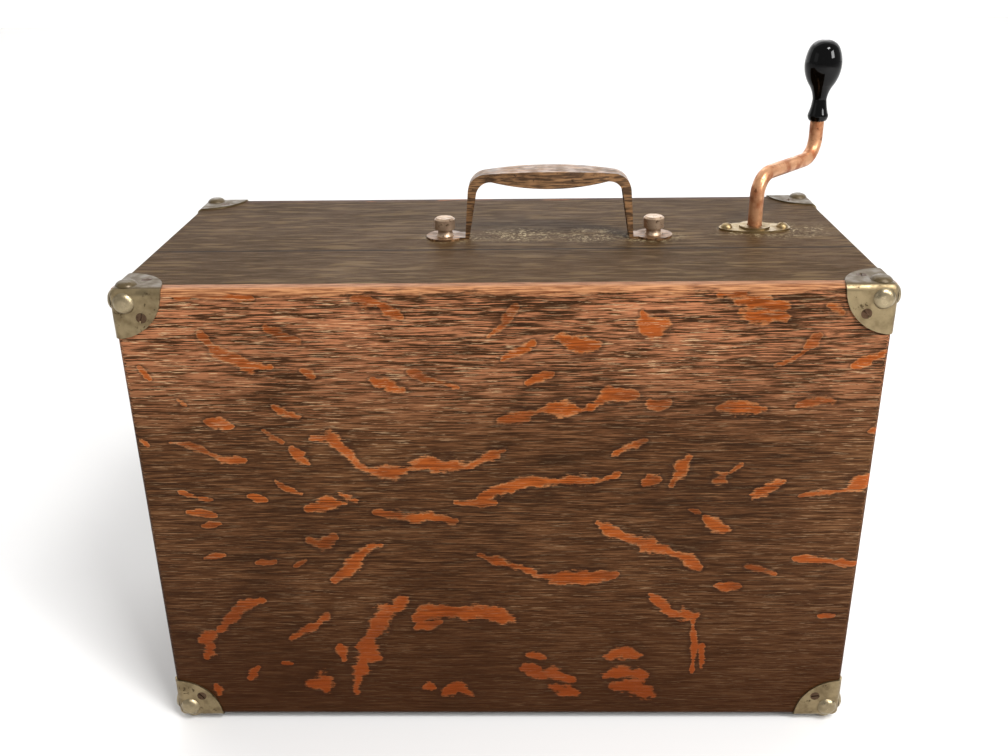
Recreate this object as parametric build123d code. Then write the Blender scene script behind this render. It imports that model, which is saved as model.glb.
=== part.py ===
from build123d import *
from math import acos, atan2, cos, degrees, hypot, pi, radians, sin, sqrt, tan
import os

# Portable wind-up phonograph in a wooden carrying case, in millimetres.
# The case stands on its long side with the handle up: X right, Y from the lid to the back, Z up.
# The origin is under the middle of the case, on the surface that the studs stand on.

# Wooden case, outside faces
CASE_W = 412.0
CASE_H = 282.0
LID_D = 70.0
BODY_D = 124.0
WALL = 9.0
RABBET = 4.5
LID_PANEL_T = 9.0
BACK_T = 8.0
EDGE_R = 3.0

# Corner caps with their domed studs and countersunk screws
CAP_T = 1.0
CAP_R = 27.0
STUD_R = 5.8
STUD_H = 2.2
FOOT_STUD_H = 3.5
STUD_FLAT_R = 2.0
STUD_INSET = 7.0
NAIL_R = 1.2
NAIL_L = 6.0
SCREW_INSET = 15.2
SCREW_HEAD_R = 2.9
SCREW_R = 1.4
SCREW_L = 7.0
SLOT_W = 0.8
SLOT_DEPTH = 0.7

# Motor board, which is the deck that the player works on
DECK_DROP = 21.5
DECK_T = 8.0
DECK_GAP = 0.5
CLEAT = 11.0
CLEAT_LOW = 47.0
CLEAT_HIGH = 250.0

# Carrying handle, a pressed channel
HANDLE_X = 27.3
HANDLE_SPAN = 101.0
HANDLE_RISE = 41.4
HANDLE_T = 1.3
GRIP_W = 22.0
LEG_W = 14.5
FOOT_W = 12.5
FOOT_X = 62.9
FOOT_R = 11.3
LEG_LEAN = 2.2
LEG_TOP = 29.0
SHOULDER_X = 38.0
SHOULDER_Z = 39.4
FLANGE_MID = 10.0
FLANGE_SHOULDER = 4.5
FLANGE_FOOT = 2.4

# Thumb screws that hold the handle
THUMB_SHANK_R = 2.6
THUMB_COLLAR_R = 5.4
THUMB_COLLAR_H = 2.4
THUMB_NECK_R = 4.4
THUMB_HEAD_R = 6.15
THUMB_HEAD_Z = 5.4
THUMB_TOP_Z = 12.2
THUMB_NUT_R = 4.6
THUMB_NUT_T = 3.0

# Winding crank and its escutcheon
CRANK_X = 153.8
CRANK_Y = 13.4
ROD_R = 4.3
BEND_R = 13.0
KNOB_X = 198.5
KNOB_Y = 60.4
ARM_Z0 = 319.4
ARM_Z1 = 320.7
KNOB_Z = 343.5
KNOB_L = 49.0
KNOB_R = 11.3
KNOB_PIN_R = 2.8
KNOB_PIN_L = 34.0
ROD_FLAT = 1.2
SOCKET_DEPTH = 50.0
PLATE_L = 43.6
PLATE_W = 21.0
PLATE_T = 1.2
RING_R = 9.3
RING_T = 2.5
PLATE_SCREW_X = 17.0
SLEEVE_R = 7.0
BUSH_R = 8.6

# Running clearance of a shaft in its hole, and the gap kept between other faces that move
RUN = 0.05
CLEAR = 0.3

# Turntable
TABLE_X = 62.0
TABLE_R = 101.6
TABLE_TOP = 16.5
TABLE_RIM = 12.0
TABLE_T = 1.6
FELT_T = 1.5
SPINDLE_R = 4.0
PIN_R = 3.6
PIN_H = 14.0

# Spring motor, heights measured from the deck's upper face
MOTOR_PLATE_T = 2.5
LOWER_PLATE_Z = -86.0
PLATE_X0 = 8.0
PLATE_X1 = 184.0
PLATE_Z0 = 92.0
PLATE_Z1 = 228.0
PLATE_ROUND = 8.0
PILLAR_INSET = 7.0
PILLAR_R = 3.5
ARBOR_R = 4.0
PIVOT_R = 2.0
BEVEL_MODULE = 1.25
BEVEL_PINION = 14
BEVEL_WHEEL = 24
BEVEL_FACE = 0.3
BARREL_MODULE = 1.5
BARREL_TEETH = 52
FIRST_PINION = 10
WHEEL_MODULE = 1.25
WHEEL_TEETH = 62
SPINDLE_PINION = 12
BARREL_R = 36.0
BARREL_TOP = -47.0
BARREL_GEAR_T = 4.0
BARREL_BOTTOM = -78.0
BARREL_SHELL = 1.5
SPRING_T = 0.9
SPRING_TURNS = 7
WHEEL_Z = -43.5
WHEEL_T = 2.5

# Governor, driven from the spindle by a many-start worm
WORM_STARTS = 5
GOVERNOR_GEAR = 50
GOVERNOR_Z = -62.0
WORM_R = 5.0
WORM_L = 15.0
GOVERNOR_GEAR_T = 4.0
GOVERNOR_PIVOT_R = 1.5
GOVERNOR_SHAFT_R = 2.2
GOVERNOR_LOW = 126.0
GOVERNOR_HIGH = 214.0
GOVERNOR_COLLAR_Z = 160.0
GOVERNOR_DISC_Z = 206.0
GOVERNOR_DISC_R = 15.0
GOVERNOR_WEIGHT_R = 3.6
GOVERNOR_BOW = 12.0
GOVERNOR_SPRING_W = 5.0
GOVERNOR_SPRING_T = 0.5

# Tone arm, parked a little past upright so that its weight leans on its rest
ARM_X = -100.0
ARM_Z = 53.5
ARM_REACH = 194.0
ARM_PARK = 95.0
ARM_H = 56.0
ARM_ROOT_R = 10.0
ARM_TIP_R = 8.0
ARM_WALL = 1.3
ARM_ELBOW_R = 18.0
BASE_R = 24.0
BASE_T = 3.0
BASE_NECK_H = 18.0
BASE_WALL = 3.0
REST_AT = 140.0
REST_W = 14.0

# Gooseneck and sound box, lying face down when stored
NECK_R = 8.0
NECK_WALL = 1.8
NECK_SLEEVE = 14.0
NECK_BEND_R = 10.0
NECK_DROP = 16.0
BOX_R = 25.0
BOX_T = 13.0
BOX_RIM = 4.0
BOX_WINDOW = 1.6
DIAPHRAGM_T = 0.5
STYLUS_REACH = 9.0
NEEDLE_R = 0.8

# Folded horn under the deck
HORN_X0 = -184.0
HORN_X1 = -125.0
HORN_Z0 = 108.0
HORN_Z1 = 266.0
HORN_T = 1.2
HORN_FLOOR = -92.0
HORN_NECK_FLOOR = -44.0
THROAT_R = 9.0
THROAT_DROP = 26.0
HORN_NECK_W = 28.0

# Needle cups, brake and speed control
CUP_R = 14.0
CUP_DEPTH = 13.0
CUP_T = 1.0
CUP_LIP = 2.5
CUPS = ((174.0, 36.0), (140.0, 30.0))
BRAKE_REACH = 125.0
BRAKE_PIVOT_AT = 62.0
BRAKE_PAD_AT = 50.0
BRAKE_Z = 7.0
LEVER_T = 2.0
SPEED_X = -5.0
SPEED_Z = 246.0
POINTER_L = 15.0
POINTER_Z = 1.1
PAD_OFF = 12.3
PAD_HALF = 2.0
SPEED_GAP = 4.9

# Hinges on the left side and hook catches on the right side
HINGE_Z = (80.0, 211.0)
HINGE_L = 62.0
HINGE_LEAF = 20.0
HINGE_T = 1.2
KNUCKLE_R = 3.0
HINGE_PIN_R = 1.4
PIN_PROUD = 1.2
HINGE_OUT = 1.2
KNUCKLES = 5
CATCH_Z = (80.0, 211.0)
CATCH_Y = 19.0
CATCH_T = 1.6
HOOK_W = 9.0
HOOK_L = 34.0
STUD_PIN_R = 2.0

# Places that follow from the sizes above
STAND = CAP_T + FOOT_STUD_H
CASE_D = LID_D + BODY_D
X_SIDE = CASE_W / 2
Y_FRONT = -CASE_D / 2
Y_BACK = CASE_D / 2
Y_SEAM = Y_FRONT + LID_D
Z_BASE = STAND
Z_TOP = STAND + CASE_H
Z_MID = STAND + CASE_H / 2
Y_DECK = Y_SEAM + DECK_DROP
UPPER_PLATE_Z = -DECK_T - MOTOR_PLATE_T
SHAFT_H = Y_DECK - CRANK_Y
TABLE_Z = Z_MID
BARREL_X = CRANK_X
BARREL_Z = TABLE_Z
FIRST_C = BARREL_MODULE * (BARREL_TEETH + FIRST_PINION) / 2
SECOND_C = WHEEL_MODULE * (WHEEL_TEETH + SPINDLE_PINION) / 2
SPREAD = BARREL_X - TABLE_X
WHEEL_X = BARREL_X - (FIRST_C**2 - SECOND_C**2 + SPREAD**2) / (2 * SPREAD)
WHEEL_ZC = BARREL_Z - sqrt(FIRST_C**2 - (BARREL_X - WHEEL_X) ** 2)
GEAR_PITCH_R = GOVERNOR_GEAR * WHEEL_MODULE / 2
GOVERNOR_X = TABLE_X - GEAR_PITCH_R - WORM_R
WORM_LEAD = WORM_STARTS * pi * WHEEL_MODULE

# Heights above the deck run towards the lid; on the deck x is X and y is Z.
DECK = Plane(origin=(0, Y_DECK, 0), x_dir=(1, 0, 0), z_dir=(0, -1, 0)).location


def slab(x0, x1, y0, y1, z0, z1):
    """A block between two corners."""
    return Pos((x0 + x1) / 2, (y0 + y1) / 2, (z0 + z1) / 2) * Box(x1 - x0, y1 - y0, z1 - z0)


def rod(radius, z0, z1, x=0.0, y=0.0):
    """An upright cylinder between two heights."""
    return Pos(x, y, (z0 + z1) / 2) * Cylinder(radius, z1 - z0)


def turned(*profile):
    """A solid of revolution about Z from (radius, height) points."""
    outline = make_face(Polyline(*[(r, 0, z) for r, z in profile], close=True))
    return revolve(outline, Axis.Z)


def save(name, *solids):
    """Writes one named piece, or one group of like pieces."""
    flat = [solid for item in solids for solid in item.solids()]
    shape = flat[0] if len(flat) == 1 else Compound(children=flat)
    shape.label = name
    export_step(shape, f"parts/{name}.step")


def case_block(grow=0.0):
    """The whole closed case as one rounded block, grown outwards by a wall."""
    block = Box(CASE_W + 2 * grow, CASE_D + 2 * grow, CASE_H + 2 * grow)
    return Pos(0, 0, Z_MID) * fillet(block.edges(), EDGE_R + grow)


def end_board(block, y0, y1, side):
    """The top board (side 1) or bottom board (side -1), with a rabbet across each end."""
    outer = Z_MID + side * CASE_H / 2
    inner = outer - side * WALL
    step = outer - side * (WALL - RABBET)
    board = block & slab(-X_SIDE, X_SIDE, y0, y1, min(outer, inner), max(outer, inner))
    for x in (-1, 1):
        near = x * (X_SIDE - WALL)
        far = x * (X_SIDE + 1)
        board -= slab(min(near, far), max(near, far), y0, y1, min(inner, step), max(inner, step))
    return board


def side_board(block, y0, y1, side):
    """The left board (side -1) or right board (side 1), which sits in the end boards' rabbets."""
    outer = side * X_SIDE
    inner = side * (X_SIDE - WALL)
    low = Z_BASE + WALL - RABBET
    high = Z_TOP - WALL + RABBET
    return block & slab(min(outer, inner), max(outer, inner), y0, y1, low, high)


def corner_frames(y_side):
    """The location of each stud and screw face at the four corners on one side of the case.

    Each frame's Z points out of its face and its X and Y point in from the case's edges.
    """
    frames = []
    for x in (-1, 1):
        for z in (-1, 1):
            corner = Vector(x * X_SIDE, y_side * CASE_D / 2, Z_MID + z * CASE_H / 2)
            inward = (Vector(-x, 0, 0), Vector(0, -y_side, 0), Vector(0, 0, -z))
            for face in range(3):
                first = inward[(face + 1) % 3]
                second = inward[(face + 2) % 3]
                frames.append((corner, inward[face] * -1, first, second))
    return frames


def on_face(frame, inset, lift):
    """A location at one inset from both edges of a face, lifted out of the face."""
    corner, out, first, second = frame
    spot = corner + first * inset + second * inset + out * lift
    return Plane(origin=spot, x_dir=first, z_dir=out).location


def corner_caps(y_side):
    """Four pressed caps, each a quarter disc on three faces of its corner."""
    caps = []
    shell = case_block(CAP_T) - case_block()
    for x in (-1, 1):
        for z in (-1, 1):
            corner = Pos(x * X_SIDE, y_side * CASE_D / 2, Z_MID + z * CASE_H / 2)
            caps.append(shell & corner * Sphere(CAP_R))
    return caps


def stud(height):
    """A domed nail head with a small flat on top, above a short nail."""
    side = ThreePointArc((STUD_FLAT_R, 0, height), (STUD_R * 0.82, 0, height * 0.62), (STUD_R, 0, 0))
    lines = Polyline((STUD_R, 0, 0), (0, 0, 0), (0, 0, height), (STUD_FLAT_R, 0, height))
    return revolve(make_face([side, lines]), Axis.Z) + rod(NAIL_R, -NAIL_L, 0.1)


def flat_screw():
    """A countersunk wood screw whose head lies flush, with its slot."""
    sink = SCREW_HEAD_R - SCREW_R
    body = turned((0, 0), (SCREW_HEAD_R, 0), (SCREW_R, -sink), (SCREW_R, -SCREW_L + 1), (0, -SCREW_L))
    return body - slab(-4, 4, -SLOT_W / 2, SLOT_W / 2, -SLOT_DEPTH, 1)


def flat_screw_hole():
    """The hole that a countersunk screw fills."""
    sink = SCREW_HEAD_R - SCREW_R
    return turned((0, 1), (SCREW_HEAD_R, 1), (SCREW_HEAD_R, 0), (SCREW_R, -sink),
                  (SCREW_R, -SCREW_L + 1), (0, -SCREW_L))


def gear_face(teeth, module, share=0.44, head=0.85, foot=1.15):
    """An involute gear outline with a tooth on +X; share is the tooth's part of the pitch."""
    pressure = radians(20)
    pitch_r = teeth * module / 2
    base_r = pitch_r * cos(pressure)
    tip_r = pitch_r + head * module
    root_r = pitch_r - foot * module
    start_r = max(base_r, root_r)
    half = pi * share / teeth

    def involute(angle):
        return tan(angle) - angle

    def spread(r):
        return half + involute(pressure) - involute(acos(min(1.0, base_r / r)))

    points = []
    for tooth in range(teeth):
        middle = 2 * pi * tooth / teeth
        flank = [(tip_r, spread(tip_r)), (start_r, spread(start_r))]
        if root_r < base_r - 0.05:
            flank.append((root_r, spread(start_r)))
        for r, angle in reversed(flank):
            points.append((r * cos(middle - angle), r * sin(middle - angle)))
        for r, angle in flank:
            points.append((r * cos(middle + angle), r * sin(middle + angle)))
    return make_face(Polyline(*points, close=True))


def spur(teeth, module, z0, z1, phase):
    """A spur gear between two heights, with a tooth at the phase angle in degrees."""
    return Pos(0, 0, z0) * extrude(Rot(0, 0, phase) * gear_face(teeth, module), amount=z1 - z0)


def bevel(teeth, distance, phase):
    """A bevel gear whose cone meets its axis at the origin; its big end is at z = distance."""
    big = Rot(0, 0, phase) * gear_face(teeth, BEVEL_MODULE, share=0.36, head=0.7, foot=1.2)
    small = scale(big, by=1 - BEVEL_FACE)
    return loft([Pos(0, 0, distance * (1 - BEVEL_FACE)) * small, Pos(0, 0, distance) * big], ruled=True)


os.makedirs("parts", exist_ok=True)

# Wooden boards of the lid and the body
block = case_block()
fixing_holes = {}
for y_side in (-1, 1):
    frames = corner_frames(y_side)
    holes = [on_face(f, STUD_INSET, CAP_T) * rod(NAIL_R, -NAIL_L, 1) for f in frames]
    holes += [on_face(f, SCREW_INSET, CAP_T) * flat_screw_hole() for f in frames]
    fixing_holes[y_side] = holes

y_lid_boards = Y_FRONT + LID_PANEL_T
y_back_boards = Y_BACK - BACK_T
lid_panel = block & slab(-X_SIDE, X_SIDE, Y_FRONT, y_lid_boards, Z_BASE, Z_TOP)
lid_top = end_board(block, y_lid_boards, Y_SEAM, 1)
lid_bottom = end_board(block, y_lid_boards, Y_SEAM, -1)
lid_left = side_board(block, y_lid_boards, Y_SEAM, -1)
lid_right = side_board(block, y_lid_boards, Y_SEAM, 1)
back_panel = block & slab(-X_SIDE, X_SIDE, y_back_boards, Y_BACK, Z_BASE, Z_TOP)
body_top = end_board(block, Y_SEAM, y_back_boards, 1)
body_bottom = end_board(block, Y_SEAM, y_back_boards, -1)
body_left = side_board(block, Y_SEAM, y_back_boards, -1)
body_right = side_board(block, Y_SEAM, y_back_boards, 1)


def nearby(board, cutters):
    """The cutters that reach into a board."""
    box = board.bounding_box()
    return [c for c in cutters if box.overlaps(c.bounding_box())]


def drilled(board, cutters):
    """A board with the holes that reach it."""
    for cutter in nearby(board, cutters):
        board -= cutter
    return board


# Hinges, whose knuckles lie in a groove along the seam on the left side
hinge_axis_x = -X_SIDE - HINGE_OUT
body_leaves = []
lid_leaves = []
hinge_pins = []
knuckle_l = (HINGE_L - (KNUCKLES - 1) * CLEAR) / KNUCKLES
for z_mid in HINGE_Z:
    z_low = z_mid - HINGE_L / 2
    groove = Pos(hinge_axis_x, Y_SEAM, z_mid) * Cylinder(KNUCKLE_R + CLEAR,
                                                         HINGE_L + 2 * PIN_PROUD + 2 * CLEAR)
    body_left -= groove
    lid_left -= groove
    pin = Pos(hinge_axis_x, Y_SEAM, 0) * rod(HINGE_PIN_R, z_low - PIN_PROUD, z_low + HINGE_L + PIN_PROUD)
    hinge_pins.append(pin)
    for side, leaves in ((1, body_leaves), (-1, lid_leaves)):
        y_far = Y_SEAM + side * HINGE_LEAF
        y_near = Y_SEAM + side * CLEAR / 2
        leaf = slab(-X_SIDE - HINGE_T, -X_SIDE, min(y_near, y_far), max(y_near, y_far), z_low,
                    z_low + HINGE_L)
        outer = [e for e in leaf.edges().filter_by(Axis.X) if abs(e.center().Y - y_far) < 0.1]
        leaf = fillet(outer, 4.0)
        kept = []
        for number in range(KNUCKLES):
            z0 = z_low + number * (knuckle_l + CLEAR)
            knuckle = Pos(hinge_axis_x, Y_SEAM, 0) * rod(KNUCKLE_R, z0, z0 + knuckle_l)
            if (number % 2 == 0) == (side == 1):
                kept.append(knuckle)
            else:
                leaf -= Pos(hinge_axis_x, Y_SEAM, 0) * rod(KNUCKLE_R + CLEAR, z0 - CLEAR,
                                                           z0 + knuckle_l + CLEAR)
        leaf = leaf.fuse(*kept)
        bore = HINGE_PIN_R if side == 1 else HINGE_PIN_R + RUN
        leaf -= Pos(hinge_axis_x, Y_SEAM, 0) * rod(bore, z_low - 1, z_low + HINGE_L + 1)
        for z_screw in (z_low + 9, z_low + HINGE_L / 2, z_low + HINGE_L - 9):
            spot = Plane(origin=(-X_SIDE - HINGE_T, Y_SEAM + side * 13.0, z_screw),
                         z_dir=(-1, 0, 0)).location
            leaf -= spot * flat_screw_hole()
            if side == 1:
                fixing_holes[1].append(spot * flat_screw_hole())
            else:
                fixing_holes[-1].append(spot * flat_screw_hole())
        leaves.append(leaf)

# Hook catches on the right side: a pivot plate on the body, a stud on the lid
catch_plates = []
catch_studs = []
for z_catch in CATCH_Z:
    y_pivot = Y_SEAM + CATCH_Y
    plate = slab(X_SIDE, X_SIDE + 1.0, y_pivot - 8, y_pivot + 8, z_catch - 13, z_catch + 13)
    plate = fillet(plate.edges().filter_by(Axis.X), 4.0)
    pivot = Pos(X_SIDE, y_pivot, z_catch) * Rot(0, 90, 0) * rod(STUD_PIN_R, -6, 1.0 + CATCH_T + 2 * CLEAR)
    rivet = Pos(X_SIDE, y_pivot, z_catch) * Rot(0, 90, 0) * turned(
        (0, 1.0 + CATCH_T + 2 * CLEAR), (3.6, 1.0 + CATCH_T + 2 * CLEAR), (3.0, 4.3), (0, 4.3))
    catch_plates.append(plate + pivot + rivet)
    fixing_holes[1].append(Pos(X_SIDE, y_pivot, z_catch) * Rot(0, 90, 0) * rod(STUD_PIN_R, -6, 1))
    y_stud = y_pivot - HOOK_L
    keeper = slab(X_SIDE, X_SIDE + 1.0, y_stud - 7, y_stud + 7, z_catch - 9, z_catch + 9)
    keeper = fillet(keeper.edges().filter_by(Axis.X), 4.0)
    post = Pos(X_SIDE, y_stud, z_catch) * Rot(0, 90, 0) * rod(STUD_PIN_R, -6, 3.2)
    head = Pos(X_SIDE, y_stud, z_catch) * Rot(0, 90, 0) * turned((0, 3.2), (3.4, 3.2), (2.8, 4.3), (0, 4.3))
    catch_studs.append(keeper + post + head)
    fixing_holes[-1].append(Pos(X_SIDE, y_stud, z_catch) * Rot(0, 90, 0) * rod(STUD_PIN_R, -6, 1))


def hook():
    """A flat swing hook hanging down from its pivot at the origin, open on its lower right side."""
    y_slot = HOOK_L
    arm = extrude(Plane.YZ * (Pos(0, -HOOK_L / 2) * RectangleRounded(HOOK_W, HOOK_L + HOOK_W,
                                                                     HOOK_W / 2 - 0.01)),
                  amount=CATCH_T)
    arm -= Rot(0, 90, 0) * rod(STUD_PIN_R + RUN, -1, 5)
    gap = STUD_PIN_R + CLEAR
    arm -= Pos(0, 0, -y_slot) * Rot(0, 90, 0) * rod(gap, -1, 5)
    arm -= slab(-1, 5, -HOOK_W, 0, -y_slot - gap, -y_slot + gap)
    lift = Pos(0, 0, -y_slot - HOOK_W / 2 - 2.5) * Box(CATCH_T, 5.0, 8.0)
    return arm + Pos(CATCH_T / 2, 0, 0) * lift


hooks = [Pos(X_SIDE + 1.0 + CLEAR, Y_SEAM + CATCH_Y, z) * hook() for z in CATCH_Z]

# Carrying handle


handle_plane = Plane(origin=(HANDLE_X, 0, Z_TOP), x_dir=(1, 0, 0), z_dir=(0, -1, 0))


def handle_outline(offset):
    """Half spans and heights of the handle's line at an offset in from its outer face."""
    half = HANDLE_SPAN / 2
    return [(-half + offset, 0), (-half + LEG_LEAN + offset, LEG_TOP),
            (-SHOULDER_X + offset * 0.4, SHOULDER_Z - offset), (0, HANDLE_RISE - offset)]


def handle_band(outer, inner_foot, inner_shoulder, inner_mid):
    """A closed band between the outer line and an inner line with its own depths."""
    a0, a1, a2, a3 = handle_outline(outer)
    b0 = handle_outline(inner_foot)[0]
    b1 = (handle_outline(inner_shoulder)[1][0] + 0.4, LEG_TOP - 1.5)
    b2 = (-SHOULDER_X + 4.0, SHOULDER_Z - inner_shoulder)
    b3 = (0, HANDLE_RISE - inner_mid)

    def mirror(p):
        return (-p[0], p[1])

    lean = (a1[0] - a0[0], a1[1] - a0[1])
    shoulder = TangentArc(a1, a2, tangent=lean)
    shoulder_r = TangentArc(mirror(a1), mirror(a2), tangent=(-lean[0], lean[1]))
    inner = TangentArc(b1, b2, tangent=(b1[0] - b0[0], b1[1] - b0[1]))
    inner_r = TangentArc(mirror(b1), mirror(b2), tangent=(b0[0] - b1[0], b1[1] - b0[1]))
    edges = [Line(a0, a1), shoulder, ThreePointArc(a2, a3, mirror(a2)), shoulder_r,
             Line(mirror(a1), mirror(a0)),
             Line(mirror(a0), mirror(b0)), Line(mirror(b0), mirror(b1)), inner_r,
             ThreePointArc(mirror(b2), b3, b2), inner, Line(b1, b0), Line(b0, a0)]
    return make_face(edges)


def handle_plan(shrink):
    """The handle seen from above: widest at the grip, narrow at the legs."""
    grip = GRIP_W / 2 - shrink
    leg = LEG_W / 2 - shrink
    foot = FOOT_W / 2 - shrink
    end = HANDLE_SPAN / 2
    edges = [ThreePointArc((-SHOULDER_X, leg), (0, grip), (SHOULDER_X, leg)),
             Line((SHOULDER_X, leg), (end, foot)),
             Line((end, foot), (end, -foot)), Line((end, -foot), (SHOULDER_X, -leg)),
             ThreePointArc((SHOULDER_X, -leg), (0, -grip), (-SHOULDER_X, -leg)),
             Line((-SHOULDER_X, -leg), (-end, -foot)), Line((-end, -foot), (-end, foot)),
             Line((-end, foot), (-SHOULDER_X, leg))]
    return make_face(edges)


band = extrude(handle_plane * handle_band(0, FLANGE_FOOT, FLANGE_SHOULDER, FLANGE_MID), amount=GRIP_W,
               both=True)
hollow = extrude(handle_plane * handle_band(HANDLE_T, FLANGE_FOOT + 3, FLANGE_SHOULDER + 4, FLANGE_MID + 5),
                 amount=GRIP_W, both=True)
plan = extrude(Pos(HANDLE_X, 0, Z_TOP) * handle_plan(0), amount=HANDLE_RISE + 5)
inner_plan = extrude(Pos(HANDLE_X, 0, Z_TOP) * handle_plan(HANDLE_T), amount=HANDLE_RISE + 5)
handle = (band & plan) - (hollow & inner_plan)
for side in (-1, 1):
    x_foot = HANDLE_X + side * FOOT_X
    x_leg = HANDLE_X + side * (HANDLE_SPAN / 2 - 1)
    tongue = slab(min(x_foot, x_leg), max(x_foot, x_leg), -FOOT_W / 2, FOOT_W / 2, Z_TOP, Z_TOP + HANDLE_T)
    handle = handle + rod(FOOT_R, Z_TOP, Z_TOP + HANDLE_T, x_foot, 0) + tongue
    handle -= rod(THUMB_SHANK_R + RUN, Z_TOP - 1, Z_TOP + 5, x_foot, 0)


def thumb_screw():
    """A thumb screw standing on a handle foot, with a knurled head."""
    low = HANDLE_T
    bottom = -WALL - THUMB_NUT_T
    body = turned((0, bottom), (THUMB_SHANK_R, bottom), (THUMB_SHANK_R, low), (THUMB_COLLAR_R, low),
                  (THUMB_COLLAR_R - 0.8, low + THUMB_COLLAR_H * 0.6), (THUMB_NECK_R, low + THUMB_COLLAR_H),
                  (THUMB_NECK_R, THUMB_HEAD_Z), (THUMB_HEAD_R, THUMB_HEAD_Z),
                  (THUMB_HEAD_R, THUMB_TOP_Z - 1.0),
                  (THUMB_HEAD_R - 1.2, THUMB_TOP_Z), (0, THUMB_TOP_Z))
    return body


foot_xs = (HANDLE_X - FOOT_X, HANDLE_X + FOOT_X)
thumb_holes = [rod(THUMB_SHANK_R + RUN, Z_TOP - WALL - 1, Z_TOP + 1, x, 0) for x in foot_xs]
nuts = []
for x in foot_xs:
    nut = rod(THUMB_NUT_R, Z_TOP - WALL - THUMB_NUT_T, Z_TOP - WALL, x, 0)
    nuts.append(nut - rod(THUMB_SHANK_R + RUN, Z_TOP - 30, Z_TOP, x, 0))

# Escutcheon round the crank, with a neck that lines the hole in the top board
ellipse = extrude(Pos(CRANK_X, CRANK_Y, Z_TOP) * Ellipse(PLATE_L / 2, PLATE_W / 2), amount=PLATE_T)
escutcheon = ellipse + rod(RING_R, Z_TOP, Z_TOP + RING_T, CRANK_X, CRANK_Y)
escutcheon += rod(BUSH_R, Z_TOP - WALL, Z_TOP, CRANK_X, CRANK_Y)
escutcheon -= rod(SLEEVE_R + RUN, Z_TOP - WALL - 1, Z_TOP + PLATE_T / 2, CRANK_X, CRANK_Y)
escutcheon -= rod(ROD_R + CLEAR, Z_TOP - 20, Z_TOP + 20, CRANK_X, CRANK_Y)
bush_hole = rod(BUSH_R, Z_TOP - WALL - 1, Z_TOP + 1, CRANK_X, CRANK_Y)


def round_screw():
    """A round-head wood screw with its slot, standing on z = 0."""
    head = ThreePointArc((3.6, 0, 0), (2.6, 0, 1.8), (0, 0, 2.5))
    lines = Polyline((0, 0, 2.5), (0, 0, -8), (1.5, 0, -7), (1.5, 0, 0), (3.6, 0, 0))
    screw = revolve(make_face([head, lines]), Axis.Z)
    return screw - slab(-5, 5, -SLOT_W / 2, SLOT_W / 2, 1.5, 5)


plate_screws = []
plate_screw_holes = []
for side in (-1, 1):
    spot = Pos(CRANK_X + side * PLATE_SCREW_X, CRANK_Y, Z_TOP + PLATE_T)
    plate_screws.append(spot * Rot(0, 0, 40 * side) * round_screw())
    hole = spot * turned((0, 1), (1.5, 1), (1.5, -7), (0, -8))
    escutcheon -= hole
    plate_screw_holes.append(hole)

# Crank: a bent rod with a turning knob, its flatted end in the winding shaft's socket
socket_floor = Z_TOP - SOCKET_DEPTH
crank_line = FilletPolyline((CRANK_X, CRANK_Y, socket_floor + CLEAR), (CRANK_X, CRANK_Y, ARM_Z0),
                            (KNOB_X, KNOB_Y, ARM_Z1), (KNOB_X, KNOB_Y, KNOB_Z), radius=BEND_R)
crank = sweep(Plane(origin=crank_line @ 0, z_dir=crank_line % 0) * Circle(ROD_R), path=crank_line)
crank += rod(KNOB_PIN_R, KNOB_Z - 0.1, KNOB_Z + KNOB_PIN_L, KNOB_X, KNOB_Y)
flat_top = Z_TOP - SOCKET_DEPTH / 3
crank -= slab(CRANK_X + ROD_R - ROD_FLAT, CRANK_X + 10, CRANK_Y - 10, CRANK_Y + 10, socket_floor - 1,
              flat_top)


def knob_shape():
    """The pear-shaped knob as a turned profile, standing on z = 0."""
    side = [ThreePointArc((5.2, 0, 0), (6.15, 0, 1.8), (6.0, 0, 4.6)),
            ThreePointArc((6.0, 0, 4.6), (4.9, 0, 8.7), (4.3, 0, 13.1)),
            ThreePointArc((4.3, 0, 13.1), (5.4, 0, 17.9), (7.7, 0, 22.1)),
            ThreePointArc((7.7, 0, 22.1), (KNOB_R, 0, 34.5), (9.0, 0, 44.5)),
            ThreePointArc((9.0, 0, 44.5), (6.2, 0, 47.5), (1.5, 0, KNOB_L))]
    lines = Polyline((1.5, 0, KNOB_L), (0, 0, KNOB_L), (0, 0, 0), (5.2, 0, 0))
    return revolve(make_face([*side, lines]), Axis.Z)


knob_bore = rod(KNOB_PIN_R + RUN, -1, KNOB_PIN_L + CLEAR)
knob = Pos(KNOB_X, KNOB_Y, KNOB_Z) * (Pos(0, 0, CLEAR) * knob_shape() - knob_bore)

# Winding shaft: bevel pinion below, socket sleeve above
shaft_frame = Plane(origin=(CRANK_X, CRANK_Y, BARREL_Z), x_dir=(1, 0, 0), z_dir=(0, 0, 1)).location
pinion_distance = BEVEL_MODULE * BEVEL_WHEEL / 2
wheel_distance = BEVEL_MODULE * BEVEL_PINION / 2
shaft_end = pinion_distance * (1 - BEVEL_FACE)
sleeve_low = socket_floor - 6 - BARREL_Z
sleeve_high = Z_TOP - CLEAR - BARREL_Z
pinion = bevel(BEVEL_PINION, pinion_distance, 90)
winding = pinion + rod(ARBOR_R, shaft_end, sleeve_low + 1) + rod(6.5, pinion_distance, pinion_distance + 5)
winding += rod(SLEEVE_R, sleeve_low, sleeve_high)
socket = rod(ROD_R + RUN, socket_floor - BARREL_Z, sleeve_high + 1)
flat = slab(ROD_R - ROD_FLAT + RUN, 10, -10, 10, -10, flat_top - BARREL_Z)
winding = shaft_frame * (winding - (socket - flat))

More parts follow.
